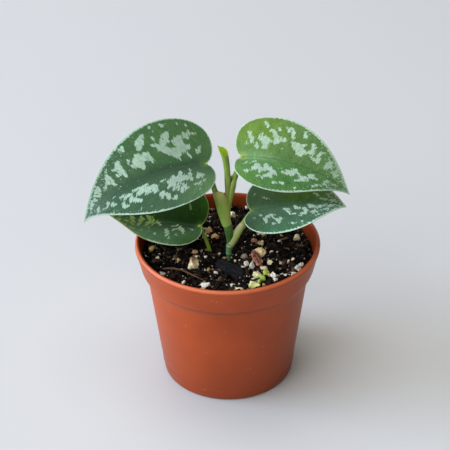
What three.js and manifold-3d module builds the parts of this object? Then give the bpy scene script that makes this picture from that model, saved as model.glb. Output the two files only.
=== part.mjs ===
// Satin pothos (Scindapsus pictus) growing in a 7 cm terracotta-coloured plastic nursery pot.
// Millimetres, +Z up. The origin is the centre of the pot's foot, and -Y is the front.

import * as THREE from 'three';
import { mergeVertices } from 'three/addons/utils/BufferGeometryUtils.js';
import Module from 'manifold-3d';

const wasm = await Module();
wasm.setup();

// Driving dimensions

const gap = 0.3; // clearance between neighbouring pieces

const pot = {
  height: 57.5,
  rimRadius: 35,
  lipWidth: 1.9,
  bandRadius: 32.9, // outside, at the bottom of the rim band
  bandDepth: 10.5,
  shoulderDepth: 3,
  neckRadius: 30.7, // outside, just under the shoulder
  footRadius: 24.6,
  wall: 1.25,
  floor: 2.2,
  recess: 1, // how far the underside is raised between the foot ring and the centre boss
  bossRadius: 6,
  footWidth: 4.5,
  ringHeight: 5, // faint mould ring round the foot
  sides: 40,
  drainHoles: 5,
  drainRadius: 2.6,
  drainCircle: 13,
};

const soilTop = {
  level: 51.3,
  relief: 0.55,
  rings: 9,
  grains: 46,
  grainMin: 0.6,
  grainMax: 1.4,
  seed: 11,
};

// The larger perlite and grit lumps in the soil surface: x, y, radius.
const lumps = [
  [7.4, -10.2, 1.5], [9.4, -10.6, 1.4], [6.2, -3.6, 1.4], [15.8, -8.4, 1.3], [13.5, -12.4, 1.4],
  [12.9, -15.2, 1.7], [11.3, -17.4, 1.8], [8.8, -22.8, 1.8], [16.6, -17.2, 1.5], [26.2, -12.3, 1.6],
  [-8.4, -22.9, 1.8], [4, -25, 1.5], [26.3, 8.3, 1.8], [-12.4, -0.5, 1.4], [-4.8, 8.8, 1.7],
  [-7.5, 13.8, 1.6], [10.1, 7.1, 1.3], [-28.6, 1.8, 1.4], [2.3, 24.6, 1.5],
];

const blade = {
  thickness: 0.75,
  ribDepth: 0.85, // midrib ridge under the blade, at the foot
  ribWidth: 1.1,
  rows: 22,
  columns: [0, 0.07, 0.3, 0.55, 0.79, 1],
  wave: 0.3,
};

// The heart shape that all the blades share, as fractions of a blade's length and half width.
const heart = {
  lobe: 0.072, // how far the lobes reach back past the foot
  lobeOut: 0.14,
  widest: 0.27, // where along the midrib the blade is widest
  shoulder: 0.67,
  tip: 0.18,
};

// foot: where the midrib starts; heading: its compass direction; pitchFoot, pitchTip: its slope;
// curl: extra slope over the last quarter; roll, twist: sideways lean at the foot and its change to the
// tip; fold: how far each half rises from the midrib; cup: how far the margins bend back down.
const leaves = {
  upper_left: {
    foot: [-7.8, 1, 90.1], heading: 187.2, length: 52.7, halfWidth: 20.7, wavePhase: 0.4,
    pitchFoot: 0, pitchTip: -48, curl: -16, roll: 22, twist: 8.5, fold: 17.2, cup: 0.07,
  },
  upper_right: {
    foot: [5.5, 0, 93.5], heading: -6, length: 43.7, halfWidth: 18.8, wavePhase: 2.1,
    pitchFoot: 5.3, pitchTip: -43.8, curl: -2.3, roll: -19, twist: -9.5, fold: 25.8, cup: 0.25,
  },
  lower_left: {
    foot: [-10.1, 2, 62.6], heading: 161, length: 38.3, halfWidth: 15.6, wavePhase: 3.6,
    pitchFoot: -2.2, pitchTip: -7.9, curl: 8, roll: 22.7, twist: -8, fold: 25, cup: 0.13,
  },
  lower_right: {
    foot: [9, 0, 70], heading: -3.7, length: 36.1, halfWidth: 18.6, wavePhase: 5, widest: 0.3, tip: 0.23,
    pitchFoot: 18.2, pitchTip: -5.5, curl: -18, roll: -5.6, twist: -10.8, fold: 17.2, cup: 0.18,
  },
};

// Stations up the stem: centre and radius. A node is a short swelling, and the last stretch is the thin
// growing tip inside the leaf sheaths.
const stemStations = [
  { at: [-0.9, -4.0, 37], radius: 1.1 },
  { at: [-0.6, -4.5, 41], radius: 1.25 },
  { at: [-0.1, -5.2, 47], radius: 1.1 },
  { at: [0.2, -5.6, 51], radius: 0.95 },
  { at: [0.2, -5.5, 53.6], radius: 1.1 },
  { at: [0.2, -5.5, 54.1], radius: 1.3 }, // scar of an old leaf
  { at: [0.2, -5.45, 54.6], radius: 1.15 },
  { at: [0.3, -5.35, 57.4], radius: 1.35 },
  { at: [0.3, -5.3, 58.2], radius: 1.55 }, // node of the lower right leaf
  { at: [0.3, -5.25, 58.9], radius: 1.3 },
  { at: [0.2, -5.1, 62.3], radius: 1.4 },
  { at: [0, -4.85, 65.9], radius: 1.5 },
  { at: [-0.1, -4.8, 66.5], radius: 1.4 }, // node of the upper left leaf
  { at: [-0.1, -4.75, 66.9], radius: 0.95 },
  { at: [0, -4.3, 70], radius: 0.9 },
  { at: [0.1, -4.05, 72.2], radius: 0.8 },
];

const roots = { count: 5, radius: 0.6, tipRadius: 0.35, length: 17, sides: 6, seed: 5 };

// Stations up each leaf stalk. centre and radius give the circle that the section follows, wall is its
// thickness opposite the opening, wrap is how far it reaches round each way from its back, and round
// goes from 0, an open sheath, to 1, a solid stalk with a groove.
const stalks = {
  upper_left: {
    back: 205,
    stations: [
      { at: [-0.2, -4.75, 67.1], radius: 1.75, wall: 1, wrap: 150, round: 0 },
      { at: [-0.85, -4.5, 69.2], radius: 2.05, wall: 1.1, wrap: 135, round: 0 },
      { at: [-1.45, -4.0, 72.8], radius: 2.75, wall: 1.25, wrap: 126, round: 0 },
      { at: [-2.45, -3.5, 76.6], radius: 2.65, wall: 1.4, wrap: 122, round: 0 },
      { at: [-3.3, -3.0, 79.7], radius: 2.25, wall: 1.5, wrap: 118, round: 0 },
      { at: [-3.75, -2.8, 80.6], radius: 1.85, wall: 1.45, wrap: 105, round: 0.2 },
      { at: [-4.5, -2.3, 81.6], radius: 1.15, wall: 1.2, wrap: 125, round: 1 },
      { at: [-5.3, -1.3, 84.4], radius: 1.05, wall: 1, wrap: 125, round: 1 },
      { at: [-6.5, -0.3, 87.4], radius: 1, wall: 1, wrap: 125, round: 1 },
      { at: [-7.7, 0.8, 90], radius: 0.95, wall: 1, wrap: 125, round: 1 },
    ],
  },
  upper_right: {
    back: -12,
    stations: [
      { at: [0.15, -4.0, 72.7], radius: 1.4, wall: 1, wrap: 130, round: 0 },
      { at: [0.4, -3.8, 75], radius: 1.75, wall: 0.9, wrap: 118, round: 0 },
      { at: [0.65, -3.35, 78], radius: 1.95, wall: 0.95, wrap: 108, round: 0 },
      { at: [1.15, -2.75, 81], radius: 1.95, wall: 1.15, wrap: 98, round: 0 },
      { at: [2.2, -2.1, 83.2], radius: 1.45, wall: 1.2, wrap: 100, round: 0.6 },
      { at: [2.9, -1.6, 85], radius: 1.15, wall: 1, wrap: 125, round: 1 },
      { at: [3.9, -0.9, 88.4], radius: 1, wall: 1, wrap: 125, round: 1 },
      { at: [4.8, -0.4, 91], radius: 0.95, wall: 1, wrap: 125, round: 1 },
      { at: [5.4, 0, 93.4], radius: 0.9, wall: 1, wrap: 125, round: 1 },
    ],
  },
  lower_left: {
    back: 200,
    stations: [
      { at: [-3.6, -1.6, 41.5], radius: 0.85, wall: 1, wrap: 125, round: 1 },
      { at: [-5.2, 0.2, 46.5], radius: 0.85, wall: 1, wrap: 125, round: 1 },
      { at: [-6.4, 1.2, 50.6], radius: 0.82, wall: 1, wrap: 125, round: 1 },
      { at: [-7.2, 1.3, 53.8], radius: 0.8, wall: 1, wrap: 125, round: 1 },
      { at: [-8.3, 1.5, 57.2], radius: 0.8, wall: 1, wrap: 125, round: 1 },
      { at: [-9.3, 1.8, 60.2], radius: 0.8, wall: 1, wrap: 125, round: 1 },
      { at: [-10, 2, 62.5], radius: 0.8, wall: 1, wrap: 125, round: 1 },
    ],
  },
  lower_right: {
    back: -45,
    stations: [
      { at: [0.6, -5.55, 58.8], radius: 1.8, wall: 1.1, wrap: 125, round: 0 },
      { at: [1.5, -5.1, 60.5], radius: 1.9, wall: 1.15, wrap: 112, round: 0 },
      { at: [3, -4.1, 62.6], radius: 1.85, wall: 1.15, wrap: 104, round: 0 },
      { at: [4.6, -3, 64.6], radius: 1.65, wall: 1.2, wrap: 98, round: 0 },
      { at: [5.9, -2.2, 66], radius: 1.2, wall: 1.1, wrap: 110, round: 0.7 },
      { at: [7.1, -1.4, 67.6], radius: 1, wall: 1, wrap: 125, round: 1 },
      { at: [8.9, -0.1, 69.9], radius: 0.95, wall: 1, wrap: 125, round: 1 },
    ],
  },
};
const stalkSteps = 2; // rings between two stations
const sheathEdge = 0.6; // thickness of a sheath's free edges

// Stations up the rolled new leaf: it leans left at the top, where the roll begins to open.
const spearStations = [
  { at: [0.15, -4.0, 72.9], radius: 0.8 },
  { at: [0.35, -3.75, 76], radius: 0.95 },
  { at: [0.4, -3.3, 80], radius: 1.1 },
  { at: [0.3, -2.9, 84], radius: 1.15 },
  { at: [0.1, -2.5, 88], radius: 1.15 },
  { at: [-0.2, -2.2, 91.4], radius: 1.2 },
  { at: [-0.75, -2, 94.3], radius: 1.35 },
  { at: [-1.35, -1.9, 96], radius: 1.4 },
  { at: [-2.15, -1.8, 97.3], radius: 0.95 },
  { at: [-3.3, -1.8, 98.8], radius: 0.2 },
];
const spearStep = 0.3; // height of the rolled edge along the spear

const charcoal = {
  at: [0.9, -11.4, 51.6], length: 13.6, width: 7.8, thickness: 2.4, heading: -32, tilt: 15,
};
const bark = {
  at: [11.3, -6.6, 53.2], length: 9.5, width: 3.6, thickness: 2, heading: -72, tilt: -26,
};
const gravelLeft = { at: [-12.7, -9.4, 52.9], size: [2.6, 2, 2.7], seed: 3 };
const gravelRight = { at: [12.2, -1.4, 52.6], size: [2.5, 2.1, 2], seed: 8 };
const twigStations = [
  { at: [-24.3, -11.6, 52], radius: 0.42 },
  { at: [-20.6, -12.6, 52.7], radius: 0.5 },
  { at: [-16.6, -14.6, 52.6], radius: 0.48 },
  { at: [-12.3, -17.7, 51.8], radius: 0.38 },
];

const colours = {
  pot: 0xc0613f,
  soil: 0x2a201b,
  charcoal: 0x24252e,
  bark: 0x6d4334,
  gravelPale: 0xd9c39a,
  gravelTan: 0xc9a566,
  twig: 0x7a5634,
  stem: 0x4f7d45,
  stalk: 0x7a9a45,
  stalkDark: 0x5f7f30,
  upperLeft: 0x3c6f48,
  upperRight: 0x55853f,
  lowerLeft: 0x2f5a30,
  lowerRight: 0x35664a,
  spear: 0x86a33a,
};

// Small helpers

const radians = THREE.MathUtils.degToRad;
const lerp = THREE.MathUtils.lerp;
const clamp = THREE.MathUtils.clamp;
const vector = (values) => new THREE.Vector3(...values);

// Random numbers from 0 to 1 that are the same on every run.
function randomFrom(seed) {
  let state = seed * 7919 + 17;
  return () => {
    state = (state * 1664525 + 1013904223) % 4294967296;
    return state / 4294967296;
  };
}

function toSolid(geometry) {
  const bare = geometry.clone();
  bare.deleteAttribute('normal');
  bare.deleteAttribute('uv');
  const merged = mergeVertices(bare, 1e-4);
  const corners = merged.index.array;
  const kept = [];
  for (let i = 0; i < corners.length; i += 3) {
    const [a, b, c] = corners.slice(i, i + 3);
    if (a !== b && b !== c && c !== a) kept.push(a, b, c);
  }
  return new wasm.Manifold(new wasm.Mesh({
    numProp: 3,
    vertProperties: merged.attributes.position.array,
    triVerts: new Uint32Array(kept),
  }));
}

function toGeometry(solid) {
  const mesh = solid.getMesh();
  const geometry = new THREE.BufferGeometry();
  geometry.setAttribute('position', new THREE.BufferAttribute(mesh.vertProperties, 3));
  geometry.setIndex(new THREE.BufferAttribute(mesh.triVerts, 1));
  geometry.computeVertexNormals();
  return geometry;
}

// The biggest piece that is left after a cut: loose scraps are dropped.
function biggest(solid) {
  return solid.decompose().reduce((best, piece) => (piece.volume() > best.volume() ? piece : best));
}

const cutAll = (solid, cutters) => biggest(cutters.reduce((left, cutter) => left.subtract(cutter), solid));

// A closed body from corners and triangles, turned so that its faces point out.
function closedBody(points, triangles) {
  let volume = 0;
  for (const [a, b, c] of triangles) {
    volume += points[a].dot(new THREE.Vector3().crossVectors(points[b], points[c]));
  }
  const outward = volume > 0 ? triangles : triangles.map(([a, b, c]) => [a, c, b]);
  const geometry = new THREE.BufferGeometry().setFromPoints(points);
  geometry.setIndex(outward.flat());
  return toSolid(geometry);
}

// A body through rings of equal, even size. The first half of each ring faces its second half, so a cap
// is a strip between them.
function loft(rings) {
  const size = rings[0].length;
  const triangles = [];
  for (let ring = 0; ring < rings.length - 1; ring += 1) {
    for (let i = 0; i < size; i += 1) {
      const a = ring * size + i;
      const b = ring * size + ((i + 1) % size);
      triangles.push([a, b, b + size], [a, b + size, a + size]);
    }
  }
  const last = (rings.length - 1) * size;
  for (let i = 0; i < size / 2 - 1; i += 1) {
    const j = size - 1 - i;
    triangles.push([i, j, i + 1], [i + 1, j, j - 1]);
    triangles.push([last + i, last + i + 1, last + j], [last + i + 1, last + j - 1, last + j]);
  }
  return closedBody(rings.flat(), triangles);
}

// Stations with smooth values between them: centre, direction, and every other number blended.
function alongStations(stations, steps) {
  const centres = stations.map((station) => vector(station.at));
  const curve = new THREE.CatmullRomCurve3(centres, false, 'centripetal');
  const spans = stations.length - 1;
  const out = [];
  for (let i = 0; i <= spans * steps; i += 1) {
    const t = i / (spans * steps);
    const span = Math.min(Math.floor(t * spans), spans - 1);
    const mix = t * spans - span;
    const values = { centre: curve.getPoint(t), tangent: curve.getTangent(t) };
    for (const key of ['radius', 'wall', 'wrap', 'round']) {
      values[key] = lerp(stations[span][key] ?? 0, stations[span + 1][key] ?? 0, mix);
    }
    out.push(values);
  }
  return out;
}

// Places a flat section (x towards the back direction, y across) square to the path.
function placeSection(section, centre, tangent, backDegrees) {
  const back = new THREE.Vector3(Math.cos(radians(backDegrees)), Math.sin(radians(backDegrees)), 0);
  back.addScaledVector(tangent, -back.dot(tangent)).normalize();
  const across = new THREE.Vector3().crossVectors(tangent, back);
  return section.map(([x, y]) => centre.clone().addScaledVector(back, x).addScaledVector(across, y));
}

function roundSection(radius, sides, step = 0) {
  return Array.from({ length: sides }, (_, i) => {
    const turn = i / sides;
    const reach = radius + step * (turn - 0.5);
    return [reach * Math.cos(turn * 2 * Math.PI), reach * Math.sin(turn * 2 * Math.PI)];
  });
}

// Round rod along stations, each end grown a little when the rod is used as a cutter.
function rod(stations, { sides = 10, steps = 1, grow = 0, step = 0, back = 270 } = {}) {
  const rings = alongStations(stations, steps).map((value, i, all) => {
    const centre = value.centre.clone();
    if (i === 0) centre.addScaledVector(value.tangent, -grow);
    if (i === all.length - 1) centre.addScaledVector(value.tangent, grow);
    return placeSection(roundSection(value.radius + grow, sides, step), centre, value.tangent, back);
  });
  return loft(rings);
}

// Pot

function lathe(profile, sides) {
  const geometry = new THREE.LatheGeometry(profile.map(([r, z]) => new THREE.Vector2(r, z)), sides);
  return geometry.rotateX(Math.PI / 2);
}

const neckHeight = pot.height - pot.bandDepth - pot.shoulderDepth;
const bandHeight = pot.height - pot.bandDepth;

// Outside radius of the body at a height under the shoulder.
const bodyRadius = (z) => lerp(pot.footRadius + 0.5, pot.neckRadius, clamp((z - 1) / (neckHeight - 1), 0, 1));

// Inside radius at any height above the floor.
function insideRadius(z) {
  const { neckRadius, bandRadius, rimRadius, lipWidth, wall } = pot;
  if (z < neckHeight) return bodyRadius(z) - wall;
  if (z < bandHeight) return lerp(neckRadius, bandRadius, (z - neckHeight) / pot.shoulderDepth) - wall;
  return lerp(bandRadius - wall, rimRadius - lipWidth, (z - bandHeight) / (pot.bandDepth - 1));
}

function makePot() {
  const { height, rimRadius, lipWidth, bandRadius, neckRadius, footRadius, wall, floor, recess } = pot;
  const profile = [
    [0, 0],
    [pot.bossRadius, 0],
    [pot.bossRadius + recess, recess],
    [footRadius - pot.footWidth - recess, recess],
    [footRadius - pot.footWidth, 0],
    [footRadius - 0.3, 0],
    [footRadius + 0.5, 1],
    [bodyRadius(pot.ringHeight) - 0.02, pot.ringHeight - 0.5],
    [bodyRadius(pot.ringHeight) + 0.12, pot.ringHeight - 0.2],
    [bodyRadius(pot.ringHeight) + 0.12, pot.ringHeight + 0.2],
    [bodyRadius(pot.ringHeight), pot.ringHeight + 0.5],
    [neckRadius, neckHeight],
    [bandRadius - 0.5, bandHeight - 0.9],
    [bandRadius, bandHeight],
    [rimRadius - 0.35, height - 2.6],
    [rimRadius, height - 1.2],
    [rimRadius - 0.25, height - 0.4],
    [rimRadius - 0.9, height],
    [rimRadius - lipWidth + 0.4, height - 0.3],
    [rimRadius - lipWidth, height - 1],
    [bandRadius - wall, bandHeight],
    [neckRadius - wall, neckHeight],
    [bodyRadius(floor) - wall, floor],
    [0, floor],
  ];
  const hole = toSolid(new THREE.CylinderGeometry(pot.drainRadius, pot.drainRadius, 3 * floor, 16)
    .rotateX(Math.PI / 2));
  let body = toSolid(lathe(profile, pot.sides));
  for (let i = 0; i < pot.drainHoles; i += 1) {
    const turn = ((i + 0.5) / pot.drainHoles) * 2 * Math.PI;
    body = body.subtract(hole.translate([
      pot.drainCircle * Math.cos(turn), pot.drainCircle * Math.sin(turn), 0]));
  }
  return body;
}

// Soil

// Height of the soil above its mean level: low mounds, and a slight rise to the wall at the back.
function soilRelief(x, y) {
  const mounds = Math.sin(0.52 * x + 0.31 * y + 0.6) * Math.cos(0.47 * y - 0.21 * x)
    + 0.6 * Math.sin(0.93 * x - 1.07 * y + 2)
    + 0.4 * Math.sin(1.61 * x + 1.37 * y);
  return soilTop.relief * mounds + 0.012 * y;
}

const soilHeight = (x, y) => soilTop.level + soilRelief(x, y);

function makeGrain(random, size) {
  const geometry = new THREE.IcosahedronGeometry(size, 0);
  geometry.scale(0.8 + 0.5 * random(), 0.8 + 0.4 * random(), 0.7 + 0.3 * random());
  geometry.rotateX(random() * Math.PI);
  geometry.rotateZ(random() * Math.PI);
  return geometry;
}

function makeSoilBody() {
  const edge = insideRadius(soilTop.level) - gap;
  const { level, rings } = soilTop;
  const profile = [
    [0, pot.floor + gap],
    [insideRadius(pot.floor) - gap - 0.2, pot.floor + gap],
    [insideRadius(neckHeight) - gap, neckHeight - 0.1],
    [insideRadius(bandHeight) - gap - 0.05, bandHeight],
  ];
  for (let i = rings; i >= 0; i -= 1) profile.push([(edge * i) / rings, level]);
  const geometry = lathe(profile, pot.sides);
  const position = geometry.attributes.position;
  for (let i = 0; i < position.count; i += 1) {
    const [x, y, z] = [position.getX(i), position.getY(i), position.getZ(i)];
    const isTop = Math.abs(z - level) < 0.001;
    const fade = clamp((edge - Math.hypot(x, y)) / 2, 0.25, 1);
    if (isTop) position.setZ(i, level + fade * soilRelief(x, y));
  }
  return toSolid(geometry);
}

function addGrains(body) {
  const random = randomFrom(soilTop.seed);
  const places = [...lumps];
  for (let i = 0; i < soilTop.grains; i += 1) {
    const reach = (insideRadius(soilTop.level) - 3.2) * Math.sqrt(random());
    const turn = random() * 2 * Math.PI;
    const size = lerp(soilTop.grainMin, soilTop.grainMax, random() ** 2);
    places.push([reach * Math.cos(turn), reach * Math.sin(turn), size]);
  }
  let soil = body;
  for (const [x, y, size] of places) {
    const grain = makeGrain(random, size).translate(x, y, soilHeight(x, y) + 0.1 * size);
    soil = soil.add(toSolid(grain));
  }
  return biggest(soil);
}

// Chips, stones and twig that lie in the soil

// Flat chip with a broken, many-sided outline and a bevelled top, tilted in its bed.
function makeChip({ at, length, width, thickness, heading, tilt }, outline, grow = 0) {
  const layers = [[-0.5, 0.86], [0.1, 1], [0.5, 0.84]];
  const rings = layers.map(([level, scale]) => outline.map(([x, y]) => {
    const reach = Math.hypot(x * length, y * width) / 2;
    const swell = (scale * reach + grow) / reach;
    const lift = level * (thickness + 2 * grow);
    return new THREE.Vector3((x * length * swell) / 2, (y * width * swell) / 2, lift);
  }));
  const place = new THREE.Matrix4().makeTranslation(...at)
    .multiply(new THREE.Matrix4().makeRotationZ(radians(heading)))
    .multiply(new THREE.Matrix4().makeRotationX(radians(tilt)));
  return loft(rings.map((ring) => ring.map((point) => point.applyMatrix4(place))));
}

const charcoalOutline = [
  [1, 0.1], [0.8, 0.75], [0.25, 1], [-0.35, 0.85], [-0.9, 0.9], [-1, -0.1], [-0.7, -0.9], [-0.1, -0.8],
  [0.35, -1], [0.85, -0.7],
];
const barkOutline = [
  [1, 0], [0.75, 0.65], [0.2, 1], [-0.45, 0.85], [-0.95, 0.4], [-1, -0.3], [-0.6, -0.8], [0, -1],
  [0.5, -0.85], [0.85, -0.5],
];

function makeStone({ at, size, seed }, grow = 0) {
  const random = randomFrom(seed);
  const geometry = mergeVertices(new THREE.IcosahedronGeometry(1, 1).deleteAttribute('normal')
    .deleteAttribute('uv'), 1e-4);
  const position = geometry.attributes.position;
  for (let i = 0; i < position.count; i += 1) {
    const reach = 0.86 + 0.24 * random();
    const corner = new THREE.Vector3().fromBufferAttribute(position, i);
    const grown = corner.clone().multiplyScalar(reach).multiply(vector(size)).addScaledVector(corner, grow);
    position.setXYZ(i, grown.x, grown.y, grown.z);
  }
  return toSolid(geometry.translate(...at));
}

// Stem and roots

const makeStem = (grow = 0) => rod(stemStations, { sides: 10, grow });

// Roots fan out and down from the buried foot of the stem.
function makeRoots(grow = 0) {
  const random = randomFrom(roots.seed);
  let all = null;
  for (let i = 0; i < roots.count; i += 1) {
    const turn = ((i + 0.3 * random()) / roots.count) * 2 * Math.PI;
    const out = vector([Math.cos(turn), Math.sin(turn), 0]);
    const start = vector(stemStations[1].at).add(vector([0, 0, (i % 3) - 1.5]));
    const reach = roots.length * (0.7 + 0.3 * random());
    const drop = 0.55 + 0.35 * random();
    const stations = [0, 0.35, 0.7, 1].map((t) => ({
      at: start.clone().addScaledVector(out, reach * t * (1 - 0.3 * t))
        .add(vector([0, 0, -drop * reach * t * t - 1.5 * t])).toArray(),
      radius: lerp(roots.radius, roots.tipRadius, t),
    }));
    const root = rod(stations, { sides: roots.sides, grow });
    all = all ? all.add(root) : root;
  }
  return all;
}

// Leaf stalks

// Section of a stalk. The first half of the points is the back, the second half runs back along the
// inside of the sheath or the floor of the groove.
function stalkSection({ radius, wall, wrap, round }, grow) {
  const count = 7;
  const angle = (i) => radians(wrap) * (1 - (2 * i) / (count - 1));
  const outer = [];
  const inner = [];
  for (let i = 0; i < count; i += 1) {
    const turn = angle(i);
    const ease = Math.cos((turn / radians(wrap)) * (Math.PI / 2));
    const hollow = radius - lerp(Math.min(sheathEdge, wall), wall, ease);
    const edgeX = radius * Math.cos(radians(wrap));
    const edgeY = radius * Math.sin(radians(wrap));
    const share = 1 - (2 * i) / (count - 1);
    const grooveX = edgeX + 0.28 * radius * (1 - share * share);
    outer.push([radius * Math.cos(turn), radius * Math.sin(turn)]);
    inner.push([
      lerp(hollow * Math.cos(turn), grooveX, round),
      lerp(hollow * Math.sin(turn), 0.8 * edgeY * share, round),
    ]);
  }
  return growSection(outer.concat(inner.reverse()), grow);
}

// Moves each point of a closed section out along its corner's normal.
function growSection(section, grow) {
  if (grow === 0) return section;
  const size = section.length;
  return section.map(([x, y], i) => {
    const [px, py] = section[(i + size - 1) % size];
    const [nx, ny] = section[(i + 1) % size];
    const normal = new THREE.Vector2(py - ny, nx - px).normalize();
    return [x + grow * normal.x, y + grow * normal.y];
  });
}

function makeStalk({ back, stations }, grow = 0) {
  const rings = alongStations(stations, stalkSteps).map((value, i, all) => {
    const centre = value.centre.clone();
    if (i === 0) centre.addScaledVector(value.tangent, -grow);
    if (i === all.length - 1) centre.addScaledVector(value.tangent, grow);
    return placeSection(stalkSection(value, grow), centre, value.tangent, back);
  });
  return loft(rings);
}

const makeSpear = (grow = 0) => rod(spearStations, { sides: 12, grow, step: spearStep, back: 300 });

// Leaf blades

const bezier = (a, b, c, d, t) => (
  (1 - t) ** 3 * a + 3 * (1 - t) ** 2 * t * b + 3 * (1 - t) * t * t * c + t ** 3 * d);

// Flat outline of one half, from the notch at the foot (t = 0) round the lobe to the tip (t = 1):
// x runs along the midrib and y is the distance from it.
function outlinePoint(leaf, t) {
  const { length, halfWidth } = leaf;
  const widest = leaf.widest ?? heart.widest;
  const tip = leaf.tip ?? heart.tip;
  const shoulder = widest + heart.shoulder * (1 - widest) * 0.62;
  if (t < 0.5) {
    const u = 2 * t;
    return [
      bezier(0, -heart.lobe * 1.5, -heart.lobe * 1.15, widest, u) * length,
      bezier(0, heart.lobeOut, 1, 1, u) * halfWidth,
    ];
  }
  const u = 2 * t - 1;
  return [bezier(widest, shoulder, 0.8, 1, u) * length, bezier(1, 1, tip, 0, u) * halfWidth];
}

// Midrib: where it is and how it slopes at a distance x from the foot.
function midribPoint(leaf, x) {
  const steps = 60;
  const share = clamp(x / leaf.length, 0, 1);
  const slope = (s) => radians(leaf.pitchFoot + (leaf.pitchTip - leaf.pitchFoot) * s
    + leaf.curl * clamp((s - 0.75) / 0.25, 0, 1) ** 2);
  let [along, rise] = [Math.min(x, 0) * Math.cos(slope(0)), Math.min(x, 0) * Math.sin(slope(0))];
  const stride = (share * leaf.length) / steps;
  for (let i = 0; i < steps; i += 1) {
    const middle = slope((share * (i + 0.5)) / steps);
    along += stride * Math.cos(middle);
    rise += stride * Math.sin(middle);
  }
  const heading = vector([Math.cos(radians(leaf.heading)), Math.sin(radians(leaf.heading)), 0]);
  const up = vector([0, 0, 1]);
  const pitch = slope(share);
  const normal = up.clone().multiplyScalar(Math.cos(pitch)).addScaledVector(heading, -Math.sin(pitch));
  const tangent = heading.clone().multiplyScalar(Math.cos(pitch)).addScaledVector(up, Math.sin(pitch));
  const left = new THREE.Vector3().crossVectors(normal, tangent);
  const roll = radians(leaf.roll + leaf.twist * share);
  return {
    point: vector(leaf.foot).addScaledVector(heading, along).addScaledVector(up, rise),
    normal: normal.clone().multiplyScalar(Math.cos(roll)).addScaledVector(left, Math.sin(roll)),
    left: left.clone().multiplyScalar(Math.cos(roll)).addScaledVector(normal, -Math.sin(roll)),
  };
}

// Point on the blade's middle surface: x along the midrib, y out from it, side +1 left or -1 right.
function bladePoint(leaf, x, y, side) {
  const { point, normal, left } = midribPoint(leaf, x);
  const fold = radians(leaf.fold);
  const share = y / leaf.halfWidth;
  const wave = blade.wave * share * share * Math.sin((9 * x) / leaf.length + side + leaf.wavePhase);
  const lift = y * Math.sin(fold) - leaf.cup * leaf.halfWidth * share * share + wave;
  return point.addScaledVector(left, side * y * Math.cos(fold)).addScaledVector(normal, lift);
}

function bladeNormal(leaf, x, y, side) {
  if (y < 0.01) return midribPoint(leaf, x).normal;
  const step = 0.2;
  const along = bladePoint(leaf, x + step, y, side).sub(bladePoint(leaf, x - step, y, side));
  const across = bladePoint(leaf, x, y + step, side).sub(bladePoint(leaf, x, y - step, side));
  return along.cross(across).multiplyScalar(side).normalize();
}

// Both faces of a blade share one grid, so they are split into triangles alike. Each row runs from the
// midrib out to the margin, slanting towards the tip as the side veins do.
function makeBlade(leaf, grow = 0) {
  const { rows, columns } = blade;
  const flat = [{ x: 0, y: 0, side: 1, edge: true }];
  const grid = {};
  for (const side of [1, -1]) {
    for (let row = 1; row < rows; row += 1) {
      const t = row / rows;
      const footX = leaf.length * t ** 1.8;
      const [edgeX, edgeY] = outlinePoint(leaf, t);
      columns.forEach((share, column) => {
        const key = `${column === 0 ? 1 : side},${row},${column}`;
        if (grid[key] !== undefined) return;
        grid[key] = flat.length;
        const edge = column === columns.length - 1;
        flat.push({ x: lerp(footX, edgeX, share), y: edgeY * share, side, edge });
      });
    }
  }
  const tipIndex = flat.length;
  flat.push({ x: leaf.length, y: 0, side: 1, edge: true });
  const at = (side, row, column) => {
    if (row === 0) return 0;
    if (row === rows) return tipIndex;
    return grid[`${column === 0 ? 1 : side},${row},${column}`];
  };

  const top = [];
  const bottom = [];
  for (const { x, y, side, edge } of flat) {
    const middle = bladePoint(leaf, x, y, side);
    const normal = bladeNormal(leaf, x, y, side);
    if (edge && grow > 0) {
      const inner = bladePoint(leaf, x * 0.95 + leaf.length * 0.02, y * 0.9, side);
      middle.addScaledVector(middle.clone().sub(inner).normalize(), grow);
    }
    const share = clamp(x / leaf.length, 0, 1);
    const rib = blade.ribDepth * (1 - 0.75 * share) * clamp(1 - y / blade.ribWidth, 0, 1) * (edge ? 0.3 : 1);
    top.push(middle.clone().addScaledVector(normal, grow));
    bottom.push(middle.clone().addScaledVector(normal, -blade.thickness - rib - grow));
  }

  const triangles = [];
  const shift = flat.length;
  const face = (a, b, c) => {
    if (a === b || b === c || c === a) return;
    triangles.push([a, b, c], [a + shift, c + shift, b + shift]);
  };
  for (const side of [1, -1]) {
    const last = columns.length - 1;
    for (let row = 0; row < rows; row += 1) {
      for (let column = 0; column < last; column += 1) {
        const corners = [
          at(side, row, column), at(side, row + 1, column),
          at(side, row + 1, column + 1), at(side, row, column + 1)];
        if (side < 0) corners.reverse();
        const [a, b, c, d] = corners;
        face(a, b, c);
        face(a, c, d);
      }
      const [a, b] = side > 0 ? [at(side, row, last), at(side, row + 1, last)]
        : [at(side, row + 1, last), at(side, row, last)];
      triangles.push([a, b, b + shift], [a, b + shift, a + shift]);
    }
  }
  return closedBody(top.concat(bottom), triangles);
}

// Assembly: neighbours are cut back from each other by the clearance

const plant = new THREE.Group();

function addPiece(name, solid, color, roughness) {
  const material = new THREE.MeshStandardMaterial({ color, roughness, metalness: 0 });
  const mesh = new THREE.Mesh(toGeometry(solid), material);
  mesh.name = name;
  plant.add(mesh);
}

const stemCutter = makeStem(gap);
const spearCutter = makeSpear(gap);
const rightStalkCutter = makeStalk(stalks.upper_right, gap);
const leftStalkCutter = makeStalk(stalks.lower_left, gap);
const leafCutters = Object.fromEntries(
  Object.entries(leaves).map(([name, leaf]) => [name, makeBlade(leaf, gap)]));

const bedded = [
  makeChip(charcoal, charcoalOutline, gap),
  makeChip(bark, barkOutline, gap),
  makeStone(gravelLeft, gap),
  makeStone(gravelRight, gap),
  rod(twigStations, { sides: 6, steps: 2, grow: gap }),
];
const stoneCutters = bedded.slice(2, 4);

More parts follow.
